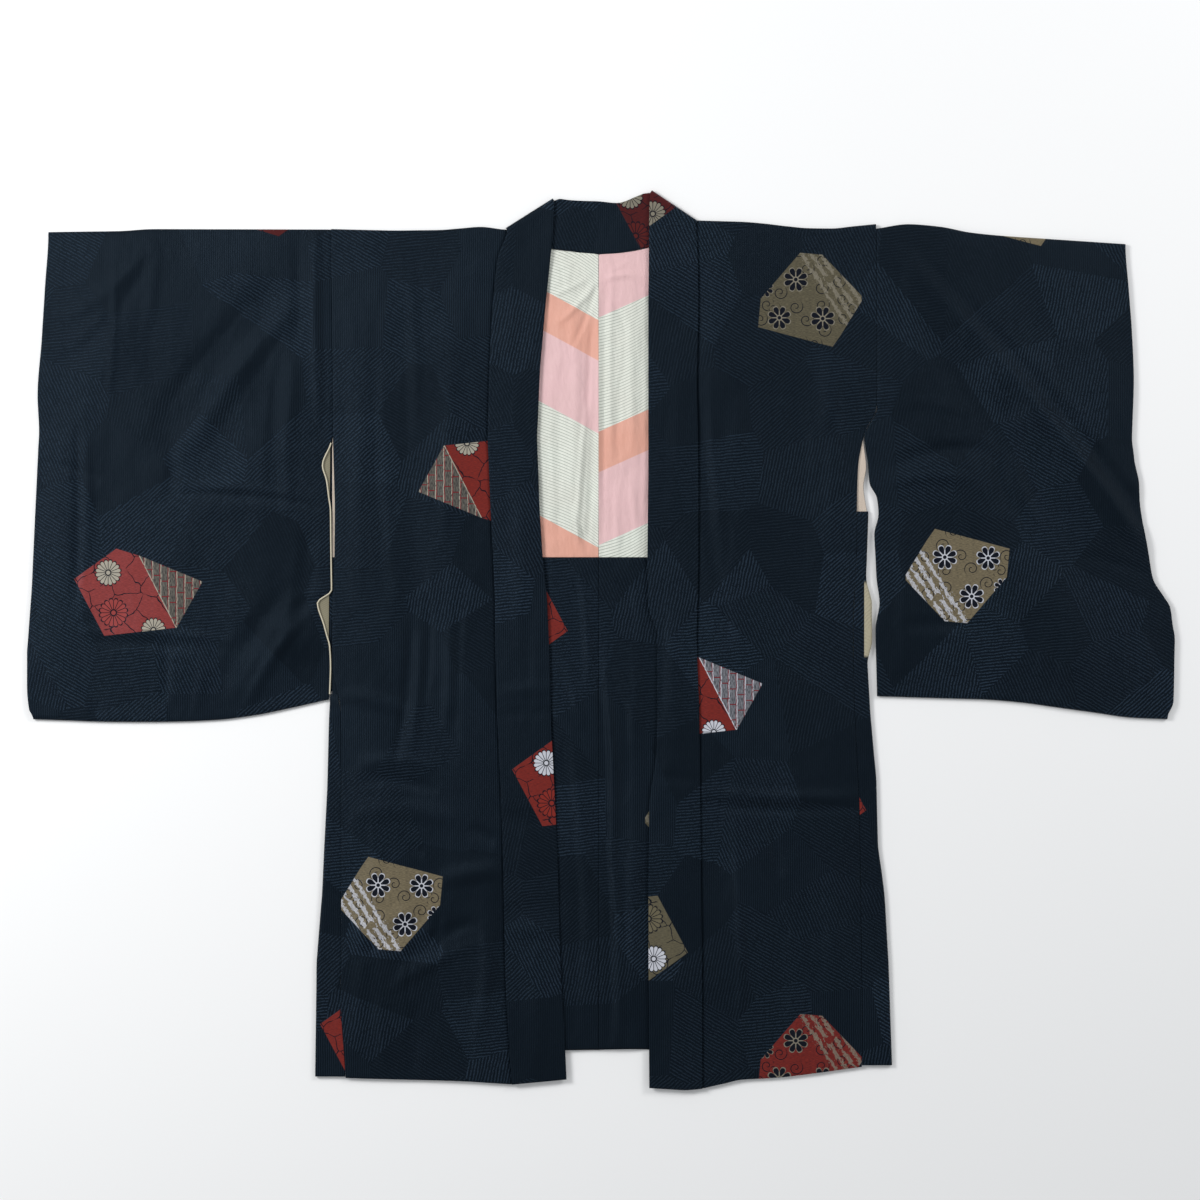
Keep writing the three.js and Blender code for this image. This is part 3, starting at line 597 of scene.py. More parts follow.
def cloth_places(net, corners, turned):
    """u and v of each face's corners. A face of the lower layer is unfolded past its fold."""
    points = net.reshape(-1, 3)[corners]
    places = points[..., :2].copy()
    height = points[..., 2].mean(axis=1)
    if turned == SHOULDER:
        fold = np.broadcast_to(net[..., 1].max(axis=0), net.shape[:2]).reshape(-1)[corners]
        lower = height < LAYER_BORDER * MM
        places[lower, :, 1] = 2 * fold[lower] - places[lower, :, 1]
    if turned == SIDE:
        lower = height < LAYER_BORDER * MM
        fold_x = net[..., 0].flat[np.argmax(np.abs(net[..., 0]))]
        places[lower, :, 0] = 2 * fold_x - places[lower, :, 0]
    if turned == COLLAR_BAND:
        middle = (net[..., 2].min() + net[..., 2].max()) / 2
        on_band = height < middle - 0.4 * MM
        places[on_band, :, 1] += BAND_SHIFT
        on_left = ~on_band & (points[..., 0].mean(axis=1) < 0)
        places[on_left, :, 0] -= BAND_SHIFT
    return places


# %% Turn a net into a thick sheet
def grid_corners(rows, columns, closed):
    """The four corners of each face of a net."""
    count = rows if closed else rows - 1
    r, c = np.meshgrid(np.arange(count), np.arange(columns - 1), indexing="ij")
    ahead = (r + 1) % rows
    corners = [r * columns + c, r * columns + c + 1, ahead * columns + c + 1, ahead * columns + c]
    return np.stack(corners, axis=-1).reshape(-1, 4)


def facing_out(net, corners, looks_up):
    """The corners in the order that makes the outer side look out."""
    points = net.reshape(-1, 3)[corners]
    normal_z = np.cross(points[:, 1] - points[:, 0], points[:, 3] - points[:, 0])[:, 2]
    lowest = points[..., 2].mean(axis=1) < net[..., 2].min() + 0.9 * MM
    total = normal_z.sum() if looks_up else -normal_z[lowest].sum()
    return corners if total > 0 else corners[:, ::-1]


def plain_mesh(piece):
    """Swaps a piece's mesh for its finished one, with no modifiers left."""
    depsgraph = bpy.context.evaluated_depsgraph_get()
    depsgraph.update()
    finished = bpy.data.meshes.new_from_object(piece.evaluated_get(depsgraph))
    piece.modifiers.clear()
    piece.data = finished
    return piece


def sheet_piece(name, net, closed, thickness, edge, turned=PLAIN, looks_up=False):
    """A thick sheet of cloth on a net, with a UV map in metres of cloth."""
    rows, columns = net.shape[:2]
    corners = facing_out(net, grid_corners(rows, columns, closed), looks_up)
    mesh = bpy.data.meshes.new(name)
    mesh.from_pydata(net.reshape(-1, 3).tolist(), [], corners.tolist())
    places = mesh.uv_layers.new(name="Cloth")
    places.data.foreach_set("uv", cloth_places(net, corners, turned).reshape(-1))
    mesh.polygons.foreach_set("use_smooth", [True] * len(mesh.polygons))
    piece = bpy.data.objects.new(name, mesh)
    bpy.context.scene.collection.objects.link(piece)
    wall = piece.modifiers.new("thickness", "SOLIDIFY")
    wall.thickness = thickness
    wall.offset = -1
    rounded = piece.modifiers.new("edge", "BEVEL")
    rounded.width = edge
    rounded.segments = 2
    rounded.limit_method = "ANGLE"
    rounded.angle_limit = math.radians(50)
    plain_mesh(piece)
    for vertex in piece.data.vertices:
        vertex.co.z = max(vertex.co.z, 0)
    triangles = sum(len(face.vertices) - 2 for face in piece.data.polygons)
    print(f"{name}: {triangles} triangles")
    return piece


# %% [markdown]
# ## Formulas as nodes
# All the patterns are worked out, not painted, so a weave stays sharp however near one looks.
# A pattern by formula needs many Math nodes. This small helper wraps a node's output, so that
# a sum or a product in Python adds the node for it, and a pattern reads as its formula.

# %% A value in a node tree
class Wire:
    """An output socket in a tree. Arithmetic on it adds Math nodes."""

    def __init__(self, tree, socket):
        self.tree, self.socket = tree, socket

    def __add__(self, other):
        return maths("ADD", self, other)

    def __sub__(self, other):
        return maths("SUBTRACT", self, other)

    def __rsub__(self, other):
        return maths("SUBTRACT", other, self)

    def __mul__(self, other):
        return maths("MULTIPLY", self, other)

    def __truediv__(self, other):
        return maths("DIVIDE", self, other)

    def __rtruediv__(self, other):
        return maths("DIVIDE", other, self)

    __radd__ = __add__
    __rmul__ = __mul__


def plug(tree, socket, value):
    """Wires a value into a socket, or sets it there if it is a plain number or colour."""
    if isinstance(value, Wire):
        tree.links.new(value.socket, socket)
    else:
        socket.default_value = value


def maths(operation, *values):
    tree = next(value.tree for value in values if isinstance(value, Wire))
    node = tree.nodes.new("ShaderNodeMath")
    node.operation = operation
    for socket, value in zip(node.inputs, values):
        plug(tree, socket, value)
    return Wire(tree, node.outputs[0])


def rise(value, low, high):
    """0 where value is below low, 1 above high, smooth between."""
    node = value.tree.nodes.new("ShaderNodeMapRange")
    node.interpolation_type = "SMOOTHSTEP"
    for socket, number in zip(node.inputs[:3], (value, low, high)):
        plug(value.tree, socket, number)
    return Wire(value.tree, node.outputs["Result"])


def fall(value, low, high):
    return 1 - rise(value, low, high)


def split(vector):
    """x and y of a vector, or red, green and blue as its x, y and z."""
    node = vector.tree.nodes.new("ShaderNodeSeparateXYZ")
    plug(vector.tree, node.inputs[0], vector)
    return [Wire(vector.tree, output) for output in node.outputs]


def joined(x, y, z=0.0):
    node = x.tree.nodes.new("ShaderNodeCombineXYZ")
    for socket, value in zip(node.inputs, (x, y, z)):
        plug(x.tree, socket, value)
    return Wire(x.tree, node.outputs[0])


def mixed(share, first, second):
    """A colour that goes from first to second as share goes from 0 to 1."""
    node = share.tree.nodes.new("ShaderNodeMix")
    node.data_type = "RGBA"
    plug(share.tree, node.inputs["Factor"], share)
    plug(share.tree, node.inputs[6], first)
    plug(share.tree, node.inputs[7], second)
    return Wire(share.tree, node.outputs[2])


def noise(place, scale, detail=2.0):
    node = place.tree.nodes.new("ShaderNodeTexNoise")
    node.noise_dimensions = "2D"
    plug(place.tree, node.inputs["Vector"], place)
    node.inputs["Scale"].default_value = scale
    node.inputs["Detail"].default_value = detail
    return Wire(place.tree, node.outputs["Fac"])


def cells(place, scale, feature="F1", loose=0.9):
    node = place.tree.nodes.new("ShaderNodeTexVoronoi")
    node.voronoi_dimensions = "2D"
    node.feature = feature
    plug(place.tree, node.inputs["Vector"], place)
    plug(place.tree, node.inputs["Scale"], scale)
    node.inputs["Randomness"].default_value = loose
    return node


def colour(red, green, blue):
    """A colour given as it looks on a screen, from 0 to 255, for a shader."""
    parts = [part / 255 for part in (red, green, blue)]
    return (*[p / 12.92 if p < 0.04045 else ((p + 0.055) / 1.055) ** 2.4 for p in parts], 1)


# %% A node group with named inputs and outputs
class Group:
    """A shader node group that is being made. group[label] is one of its inputs."""

    def __init__(self, name, inputs, outputs):
        self.tree = bpy.data.node_groups.new(name, "ShaderNodeTree")
        for label, kind, value in inputs:
            made = self.tree.interface.new_socket(
                name=label, in_out="INPUT", socket_type="NodeSocket" + kind
            )
            made.default_value = value
        for label, kind in outputs:
            self.tree.interface.new_socket(
                name=label, in_out="OUTPUT", socket_type="NodeSocket" + kind
            )
        self.start = self.tree.nodes.new("NodeGroupInput")
        self.end = self.tree.nodes.new("NodeGroupOutput")

    def __getitem__(self, label):
        return Wire(self.tree, self.start.outputs[label])

    def give(self, label, value):
        plug(self.tree, self.end.inputs[label], value)


def placed(tree, group, **values):
    """A group placed in a tree, with its inputs set. Underscores stand for spaces in labels."""
    node = tree.nodes.new("ShaderNodeGroup")
    node.node_tree = group.tree
    for label, value in values.items():
        plug(tree, node.inputs[label.replace("_", " ")], value)
    return {output.name: Wire(tree, output) for output in node.outputs}


NOWHERE = (0.0, 0.0, 0.0)
BLACK = (0.0, 0.0, 0.0, 1.0)

# %% [markdown]
# ## The ground weave
# The ground is one dark silk with a pattern in the weave alone: straight-sided cells, each
# filled with fine ribs that run their own way, and some left plain. Voronoi cells have just
# such sides. Each cell's random colour picks the way of its ribs, and also how much lighter its
# ribs are painted than the navy between them: a painted sheen, brighter in some cells than in
# others, as ribs that run another way catch the light otherwise. The ribs are floats of thread,
# so they waver and break a little.

# %% Group: ribbed cells
TURN = 2 * math.pi
RIB_WAYS = 5

ribbed = Group(
    "ribbed cells",
    [("Place", "Vector", NOWHERE), ("Cell Size", "Float", 0.07), ("Rib Pitch", "Float", 0.0034)],
    [("Ribs", "Float"), ("Tone", "Float")],
)
x, y, _ = split(ribbed["Place"])
cell = cells(ribbed["Place"], 1 / ribbed["Cell Size"], loose=1.0)
pick, tone, plainness = split(Wire(ribbed.tree, cell.outputs["Color"]))
way = maths("FLOOR", pick * RIB_WAYS) * (math.pi / RIB_WAYS) + 0.42
hand = (noise(ribbed["Place"], 55) - 0.5) * 0.0026 + (noise(ribbed["Place"], 420) - 0.5) * 0.0011
across_ribs = x * maths("COSINE", way) + y * maths("SINE", way) + hand
wave = maths("SINE", across_ribs * TURN / ribbed["Rib Pitch"])
broken = rise(noise(ribbed["Place"], 650, 3.0), 0.30, 0.52)
has_ribs = rise(plainness, 0.20, 0.21)
grain = maths("SINE", (x + hand * 0.5) * (TURN / 0.0024))
ribs = rise(wave, -0.2, 0.7) * broken * has_ribs + rise(grain, 0.0, 0.8) * (1 - has_ribs) * 0.4
ribbed.give("Ribs", ribs)
ribbed.give("Tone", tone)
print(f"ribbed cells: {len(ribbed.tree.nodes)} nodes")

# %% Group: silk threads
threads = Group(
    "silk threads",
    [("Place", "Vector", NOWHERE), ("Pitch", "Float", 0.0006)],
    [("Height", "Float"), ("Slub", "Float")],
)
x, y, _ = split(threads["Place"])
warp = maths("SINE", x * TURN / threads["Pitch"])
weft = maths("SINE", y * TURN / threads["Pitch"])
threads.give("Height", warp * weft * 0.5 + 0.5)
threads.give("Slub", noise(joined(x * 6, y), 160, 3.0))
print(f"silk threads: {len(threads.tree.nodes)} nodes")

# %% [markdown]
# ## The coloured patches
# Here and there a cell is woven in colours, in one of two repeats: flowers and broken bars, or
# chrysanthemums beside a lattice. Half of them are turned upside down, so that the cloth looks
# the same at the front and at the back of the shoulder. A flower is drawn in polar form: the
# angle, times the number of petals, tells how far a point is from the middle of its petal.

# %% Group: flower
flower = Group(
    "flower",
    [
        ("Place", "Vector", NOWHERE),
        ("X", "Float", 0.0),
        ("Y", "Float", 0.0),
        ("Radius", "Float", 0.014),
        ("Petals", "Float", 16.0),
        ("Notch", "Float", 0.25),
        ("Line", "Float", 0.09),
    ],
    [("Petals", "Float"), ("Lines", "Float"), ("Whole", "Float")],
)
x, y, _ = split(flower["Place"])
from_x = (x - flower["X"]) / flower["Radius"]
from_y = (y - flower["Y"]) / flower["Radius"]
radius = maths("SQRT", from_x * from_x + from_y * from_y)
turned = maths("ARCTAN2", from_y, from_x) * flower["Petals"] / TURN
off_petal = maths("ABSOLUTE", maths("FRACT", turned + 8.0) * 2 - 1)
tip = 1 - off_petal * off_petal * off_petal * flower["Notch"]
whole = fall(radius, tip - 0.03, tip + 0.03)
side_line = rise(off_petal, 1 - flower["Line"] * 2.2 / radius, 1 - flower["Line"] * 1.2 / radius)
rim_line = rise(radius, tip - flower["Line"] * 1.6, tip - flower["Line"])
heart_line = rise(radius, 0.13, 0.17) * fall(radius, 0.22, 0.26)
lines = maths("MAXIMUM", maths("MAXIMUM", side_line * rise(radius, 0.2, 0.26), rim_line), heart_line)
flower.give("Lines", lines * whole)
flower.give("Petals", (1 - lines) * whole)
flower.give("Whole", whole)
print(f"flower: {len(flower.tree.nodes)} nodes")


# %% Straight-sided outline
def outline(x, y, corners):
    """1 inside a convex outline whose corners, in millimetres, run clockwise."""
    outside = None
    for (x0, y0), (x1, y1) in zip(corners, corners[1:] + corners[:1]):
        length = math.hypot(x1 - x0, y1 - y0)
        out_x, out_y = -(y1 - y0) / length, (x1 - x0) / length
        beyond = x * out_x + y * out_y - (x0 * out_x + y0 * out_y) * MM
        outside = beyond if outside is None else maths("MAXIMUM", outside, beyond)
    return fall(outside, 0.0, 0.0007)


PATCH_INPUTS = [
    ("Place", "Vector", NOWHERE),
    ("X", "Float", 0.0),
    ("Y", "Float", 0.0),
    ("Way Up", "Float", 1.0),
    ("Ground", "Color", BLACK),
    ("Pale", "Color", BLACK),
    ("Dark", "Color", BLACK),
    ("Flowers Over", "Float", 0.0),
]


def own_place(group):
    """x and y measured from the patch's own middle, turned if it is upside down."""
    x, y, _ = split(group["Place"])
    return (x - group["X"]) * group["Way Up"], (y - group["Y"]) * group["Way Up"]


FLOAT_PITCH = 0.0013


def woven_ground(group, x, y, rib_share, lump_share):
    """The patch's ground colour, darker between its ribs and where its thread is thin."""
    lumps = rise(noise(joined(x * 0.45, y * 2.6), 620, 2.0), 0.25, 0.75)
    ribs = maths("SINE", y * (TURN / FLOAT_PITCH)) * 0.5 + 0.5
    return mixed(ribs * rib_share + lumps * lump_share, group["Ground"], group["Dark"])


# %% Group: flowers and bars
FLOWERS_OUTLINE = [
    (-35, 41), (-27, 54), (55, 32), (52, 1), (9, -49), (-15, -47), (-58, -2), (-58, 8),
]
SMALL_FLOWERS = [(-15.5, 23, 14), (32, 22, 13.5), (14, -20, 14), (48, -10, 10)]

flowers_bars = Group("flowers and bars", PATCH_INPUTS, [("Color", "Color"), ("Mask", "Float")])
x, y = own_place(flowers_bars)
here = joined(x, y)
ground = woven_ground(flowers_bars, x, y, 0.22, 0.42)
curl = cells(here, 46.0, "F1", 0.75)
centre_x, centre_y, _ = split(Wire(flowers_bars.tree, curl.outputs["Position"]))
curl_x, curl_y = x - centre_x, y - centre_y
curl_radius = maths("SQRT", curl_x * curl_x + curl_y * curl_y)
curl_turn = maths("FRACT", curl_radius / 0.0052 - maths("ARCTAN2", curl_y, curl_x) / TURN + 4.0)
curl_line = rise(maths("ABSOLUTE", curl_turn - 0.5), 0.39, 0.43) * fall(curl_radius, 0.0078, 0.0086)
paint = mixed(curl_line * rise(curl_radius, 0.0008, 0.0014), ground, flowers_bars["Dark"])
across_bars = x * 0.846 + y * 0.538
along_bars = x * 0.538 - y * 0.846
ragged = (noise(joined(across_bars * 2.2, along_bars), 240, 3.0) - 0.5) * 0.0085
bar = maths("FRACT", (across_bars + ragged) / 0.0088)
gap = rise(noise(joined(across_bars * 1.5, along_bars + 3.0), 75, 2.0), 0.34, 0.40)
bars = rise(bar, 0.48, 0.56) * gap * fall(across_bars, -0.0150, -0.0135)
glint = rise(noise(joined(across_bars, along_bars * 0.3), 1400, 1.0), 0.3, 0.8)
paint = mixed(bars * (glint * 0.5 + 0.5), paint, flowers_bars["Pale"])
for flower_x, flower_y, size in SMALL_FLOWERS:
    drawn = placed(
        flowers_bars.tree, flower, Place=here, X=flower_x * MM, Y=flower_y * MM,
        Radius=size * MM, Petals=8.0, Notch=0.5, Line=0.062,
    )
    paint = mixed(drawn["Whole"], paint, flowers_bars["Dark"])
    paint = mixed(drawn["Lines"], paint, flowers_bars["Pale"])
flowers_bars.give("Color", paint)
flowers_bars.give("Mask", outline(x, y, FLOWERS_OUTLINE))
print(f"flowers and bars: {len(flowers_bars.tree.nodes)} nodes")

# %% Group: chrysanthemums and lattice
LATTICE_OUTLINE = [(-69, 18), (-23, 51), (3, 43), (71, 15), (43, -35), (-36, -44)]
LATTICE_RED = colour(112, 30, 34)
# x, y, radius, and the colour of its petals. Flowers Over moves all three to the side.
CHRYSANTHEMUMS = [(-32, 25, 15, "Pale"), (-26, -19, 16.5, "Ground"), (18, -38, 14, "Pale")]

chrysanthemum_lattice = Group(
    "chrysanthemums and lattice", PATCH_INPUTS, [("Color", "Color"), ("Mask", "Float")]
)
x, y = own_place(chrysanthemum_lattice)
here = joined(x, y)
ground = woven_ground(chrysanthemum_lattice, x, y, 0.14, 0.34)
wander = joined(x + (noise(here, 60) - 0.5) * 0.008, y + (noise(here, 70) - 0.5) * 0.006)
crack = cells(wander, 42.0, "DISTANCE_TO_EDGE", 1.0)
crack_line = fall(Wire(chrysanthemum_lattice.tree, crack.outputs["Distance"]), 0.014, 0.026)
crack_part = rise(noise(here, 48), 0.36, 0.44)
paint = mixed(crack_line * crack_part, ground, chrysanthemum_lattice["Dark"])
moved = joined(x - chrysanthemum_lattice["Flowers Over"], y)
for flower_x, flower_y, size, petals in CHRYSANTHEMUMS:
    drawn = placed(
        chrysanthemum_lattice.tree, flower, Place=moved, X=flower_x * MM, Y=flower_y * MM,
        Radius=size * MM, Petals=16.0, Notch=0.22, Line=0.07,
    )
    paint = mixed(drawn["Whole"], paint, chrysanthemum_lattice["Dark"])
    paint = mixed(drawn["Petals"], paint, chrysanthemum_lattice[petals])
column = x / 0.0088 + (noise(here, 120) - 0.5) * 0.14
upright = maths("FRACT", column)
level = maths("FRACT", y / 0.0170 + maths("FRACT", maths("FLOOR", column) * 0.37))
streak = rise(noise(joined(x * 3, y * 0.5), 420, 2.0), 0.25, 0.75)
panel = mixed(streak * 0.32 + 0.08, chrysanthemum_lattice["Dark"], chrysanthemum_lattice["Pale"])
broken_thread = rise(noise(joined(x, y * 0.6), 500, 2.0), 0.28, 0.5)
red_line = rise(upright, 0.76, 0.80) * fall(upright, 0.86, 0.90)
white_line = rise(upright, 0.87, 0.91) * broken_thread
cross_line = fall(level, 0.05, 0.08) * rise(upright, 0.04, 0.08)
panel = mixed(maths("MAXIMUM", red_line, cross_line), panel, LATTICE_RED)
panel = mixed(white_line, panel, chrysanthemum_lattice["Pale"])
beyond_line = x * 0.889 + y * 0.456
paint = mixed(rise(beyond_line, 0.0212, 0.0218), paint, panel)
panel_rim = rise(beyond_line, 0.0212, 0.0216) * fall(beyond_line, 0.0222, 0.0226)
paint = mixed(panel_rim * broken_thread, paint, chrysanthemum_lattice["Pale"])
chrysanthemum_lattice.give("Color", paint)
chrysanthemum_lattice.give("Mask", outline(x, y, LATTICE_OUTLINE))
print(f"chrysanthemums and lattice: {len(chrysanthemum_lattice.tree.nodes)} nodes")

# %% [markdown]
# ## Ground cloth, piece by piece
# The pieces are cut from one length, so each has the same weave but other patches. A patch is
# given by its repeat, its middle on the piece's own cloth in millimetres, which way up it is,
# and its colours; a few red grounds are painted darker as painted shade, and one lighter as
# painted light. Where a seam cuts a piece off, the patch is cut off with it. The sheen of silk
# comes from the shader, a soft gloss and a weak sheen that shows on slopes, and also from a
# painted sheen: the ribs are painted lighter than the navy between them.

# %% Colours
NAVY_DARK = colour(3, 8, 15)
# NAVY_SHEEN is painted sheen: the colour of the ribs where they catch the light, not a second thread
NAVY_SHEEN = colour(42, 56, 71)
KHAKI = colour(132, 120, 94)
DARK_KHAKI = colour(104, 97, 76)
RED = colour(130, 44, 34)
# SHADED_RED is the red ground painted darker as painted shade, for the patches that lay in shadow
SHADED_RED = colour(84, 30, 26)
# LIT_RED is the red ground painted lighter and pinker as painted light, for a patch on the left sleeve
LIT_RED = colour(144, 62, 58)
SILVER = colour(196, 198, 206)
CREAM_GREY = colour(160, 154, 140)
GREY = colour(128, 122, 108)
INK = colour(16, 16, 24)
LINING_KHAKI = colour(176, 168, 144)
CRUMPLE = 10.0  # how much higher the cloth's soft unevenness is than its ribs
RIB_HEIGHT = 0.00034
TURNED_OUT_FROM = 0.2890  # the right gusset's back layer shows its khaki lining beyond this x
LOOM_OF = {"flowers": flowers_bars, "lattice": chrysanthemum_lattice}


# %% Build a ground cloth
def cloth_material(name):
    """A new material, its tree, its shader, and the place on the cloth."""
    made = bpy.data.materials.new(name)
    made.use_nodes = True
    tree = made.node_tree
    places = tree.nodes.new("ShaderNodeUVMap")
    places.uv_map = "Cloth"
    return made, tree, tree.nodes["Principled BSDF"], Wire(tree, places.outputs["UV"])


def bump(tree, height, distance, strength=1.0):
    node = tree.nodes.new("ShaderNodeBump")
    node.inputs["Distance"].default_value = distance
    node.inputs["Strength"].default_value = strength
    plug(tree, node.inputs["Height"], height)
    return Wire(tree, node.outputs["Normal"])


def ground_cloth(name, patches=(), shows_lining=False):
    """The navy silk with its patches: (repeat, x, y, way up, ground, pale, dark, flowers over)."""
    made, tree, shader, place = cloth_material(name)
    weave = placed(tree, ribbed, Place=place, Cell_Size=0.078, Rib_Pitch=0.0034)
    yarn = placed(tree, threads, Place=place, Pitch=0.0007)
    uneven = noise(place, 9.0, 3.0)
    # painted sheen: the ribs are painted lighter than the ground, more in some cells than in others
    light = weave["Ribs"] * (weave["Tone"] * 0.62 + 0.12)
    paint = mixed(light * (uneven * 0.9 + 0.5) + yarn["Slub"] * 0.06, NAVY_DARK, NAVY_SHEEN)
    raised = weave["Ribs"] * 0.9 + yarn["Height"] * 0.3
    x, y, _ = split(place)
    crumple = noise(joined(x * 1.3, y * 0.7), 16.0, 3.0) * CRUMPLE
    coloured = None
    for repeat, patch_x, patch_y, way_up, ground, pale, dark, *over in patches:
        patch = placed(
            tree, LOOM_OF[repeat], Place=place, X=patch_x * MM, Y=patch_y * MM, Way_Up=float(way_up),
            Ground=ground, Pale=pale, Dark=dark, Flowers_Over=sum(over) * MM,
        )
        paint = mixed(patch["Mask"], paint, patch["Color"])
        mask = patch["Mask"]
        coloured = mask if coloured is None else maths("MAXIMUM", coloured, mask)
    if coloured is not None:
        floats = maths("SINE", y * (TURN / FLOAT_PITCH)) * 0.5 + 0.5
        raised = raised * (1 - coloured) + (floats * 0.5 + 0.6) * coloured
    if shows_lining:
        turned_out = rise(x, TURNED_OUT_FROM, TURNED_OUT_FROM + 0.0006)
        turned_out = turned_out * rise(y, -0.020, -0.016) * fall(y, 0.060, 0.066)
        paint = mixed(turned_out, paint, LINING_KHAKI)
    plug(tree, shader.inputs["Base Color"], paint)
    plug(tree, shader.inputs["Roughness"], 0.40 - weave["Ribs"] * 0.10 + uneven * 0.08)
    plug(tree, shader.inputs["Normal"], bump(tree, raised + crumple, RIB_HEIGHT, 0.9))
    shader.inputs["Specular IOR Level"].default_value = 0.16
    shader.inputs["Specular Tint"].default_value = (0.46, 0.66, 0.88, 1)
    shader.inputs["Sheen Weight"].default_value = 0.02
    shader.inputs["Sheen Roughness"].default_value = 0.35
    shader.inputs["Sheen Tint"].default_value = (0.62, 0.74, 1.0, 1)
    return made


# %% Where the patches are
# repeat, x, y, way up, ground, pale, dark, and how far its flowers lie over to the side
PATCHES = {
    "sleeve_left": [
        # painted light: a lighter, pinker red for this patch
        ("lattice", -509, 49, 1, LIT_RED, CREAM_GREY, INK),
        # painted shade: a darker red for this patch
        ("lattice", -377, 495, -1, SHADED_RED, GREY, INK),
        ("flowers", -430, 720, 1, KHAKI, SILVER, INK),
    ],
    "body_left": [
        ("lattice", -129, 178, -1, RED, CREAM_GREY, INK),
        ("flowers", -229, -292, 1, KHAKI, SILVER, INK),
        ("flowers", -120, 660, -1, KHAKI, SILVER, INK),
        ("lattice", -210, 1060, 1, RED, GREY, INK),
    ],
    "gusset_left": [("lattice", -239, -440, 1, RED, GREY, INK)],
    "collar": [
        ("lattice", -1028, -160, 1, RED, SILVER, INK),
        ("lattice", 26, -325, -1, DARK_KHAKI, SILVER, INK),
        # painted shade: a darker red for the two patches by the neck
        ("lattice", 12, 493, -1, SHADED_RED, GREY, INK, -13),
        ("lattice", 86, 1463, 1, SHADED_RED, GREY, INK, -22),
    ],
    "facing_left": [("lattice", -106, 28, -1, RED, GREY, INK)],
    "facing_right": [("flowers", 107, -199, 1, DARK_KHAKI, GREY, INK)],
    "body_right": [
        ("flowers", 228, 376, -1, DARK_KHAKI, GREY, INK),
        ("lattice", 106, -63, 1, RED, SILVER, INK),
        ("flowers", 228, -460, -1, RED, GREY, INK),
        ("lattice", 150, 700, -1, RED, SILVER, INK),
        ("flowers", 190, 1150, 1, KHAKI, SILVER, INK),
    ],
    "gusset_right": [("lattice", 222, -169, -1, RED, GREY, INK)],
    "sleeve_right": [
        ("flowers", 393, 68, 1, KHAKI, SILVER, INK),
        ("flowers", 457, 487, -1, KHAKI, SILVER, INK),
        ("lattice", 440, 760, 1, RED, GREY, INK),
    ],
}
ground_cloths = {
    node: ground_cloth(node + "_silk", PATCHES[node], shows_lining=node == "gusset_right")
    for node in PATCHES
}
print(f"{len(ground_cloths)} ground cloths, {sum(map(len, PATCHES.values()))} patches")

# %% [markdown]
# ## The lining
# The body is lined in a light, slippery silk with wide slanting bands of pale pink, coral and
# cream, the cream ones ruled with fine waving lines. The bands slant one way on the left panel
# and the other way on the right, and meet at the centre seam. The sleeves are lined in a plain
# khaki cream.

# %% Body lining
CREAM = colour(226, 231, 221)
PALE_PINK = colour(228, 188, 190)
CORAL = colour(226, 164, 144)
RULED_LINE = colour(132, 146, 132)
SIDE_CREAM = colour(206, 192, 176)
BAND_REPEAT = 0.25
PINK_FROM, CORAL_FROM = 0.500, 0.820  # as shares of the repeat
BORDER = 0.003
RULED_PITCH = 0.0034
SIDE_STRIP = 0.262  # beyond this x, at the side openings, the lining is plain


def lining_cloth(name, slant, shift):
    """Wide slanting bands of cream, pink and coral, with fine waving lines on the cream."""
    made, tree, shader, place = cloth_material(name)
    x, y, _ = split(place)
    across = y + x * slant + shift
    waving = across + maths("SINE", x * (TURN / 0.11)) * 0.0035
    lines = rise(maths("ABSOLUTE", maths("FRACT", waving / RULED_PITCH) - 0.5), 0.33, 0.42)
    band = maths("FRACT", across / BAND_REPEAT)
    paint = mixed(lines * 0.7, CREAM, RULED_LINE)
    paint = mixed(rise(band, PINK_FROM, PINK_FROM + BORDER), paint, PALE_PINK)
    paint = mixed(rise(band, CORAL_FROM, CORAL_FROM + BORDER), paint, CORAL)
    at_side = rise(maths("ABSOLUTE", x), SIDE_STRIP - 0.0002, SIDE_STRIP + 0.0002)
    paint = mixed(at_side, paint, SIDE_CREAM)
    cloudy = noise(place, 22.0, 3.0)
    paint = mixed(cloudy * 0.22, paint, colour(200, 176, 166))
    yarn = placed(tree, threads, Place=place, Pitch=0.0005)
    plug(tree, shader.inputs["Base Color"], paint)
    plug(tree, shader.inputs["Roughness"], 0.40 + cloudy * 0.12)
    crinkle = noise(joined(x * 1.6 + y * 0.2, y * 0.6), 34.0, 4.0) * 44
    raised = yarn["Height"] + lines * 0.5 + crinkle
    plug(tree, shader.inputs["Normal"], bump(tree, raised, 0.00008, 0.9))
    shader.inputs["Specular IOR Level"].default_value = 0.4
    shader.inputs["Sheen Weight"].default_value = 0.12
    return made


def plain_silk(name, light, dark):
    """A plain lining silk with a fine rib across it."""
    made, tree, shader, place = cloth_material(name)
    x, y, _ = split(place)
    rib = maths("SINE", (x * 0.5 + y) * (TURN / 0.0021)) * 0.5 + 0.5
    yarn = placed(tree, threads, Place=place, Pitch=0.0006)
    cloudy = noise(place, 30.0, 3.0)
    plug(tree, shader.inputs["Base Color"], mixed(rib * 0.4 + cloudy * 0.4, light, dark))
    plug(tree, shader.inputs["Roughness"], 0.45 + cloudy * 0.15)
    plug(tree, shader.inputs["Normal"], bump(tree, rib + yarn["Height"] * 0.4, 0.00012, 0.7))
    shader.inputs["Specular IOR Level"].default_value = 0.4
    shader.inputs["Sheen Weight"].default_value = 0.10
    return made


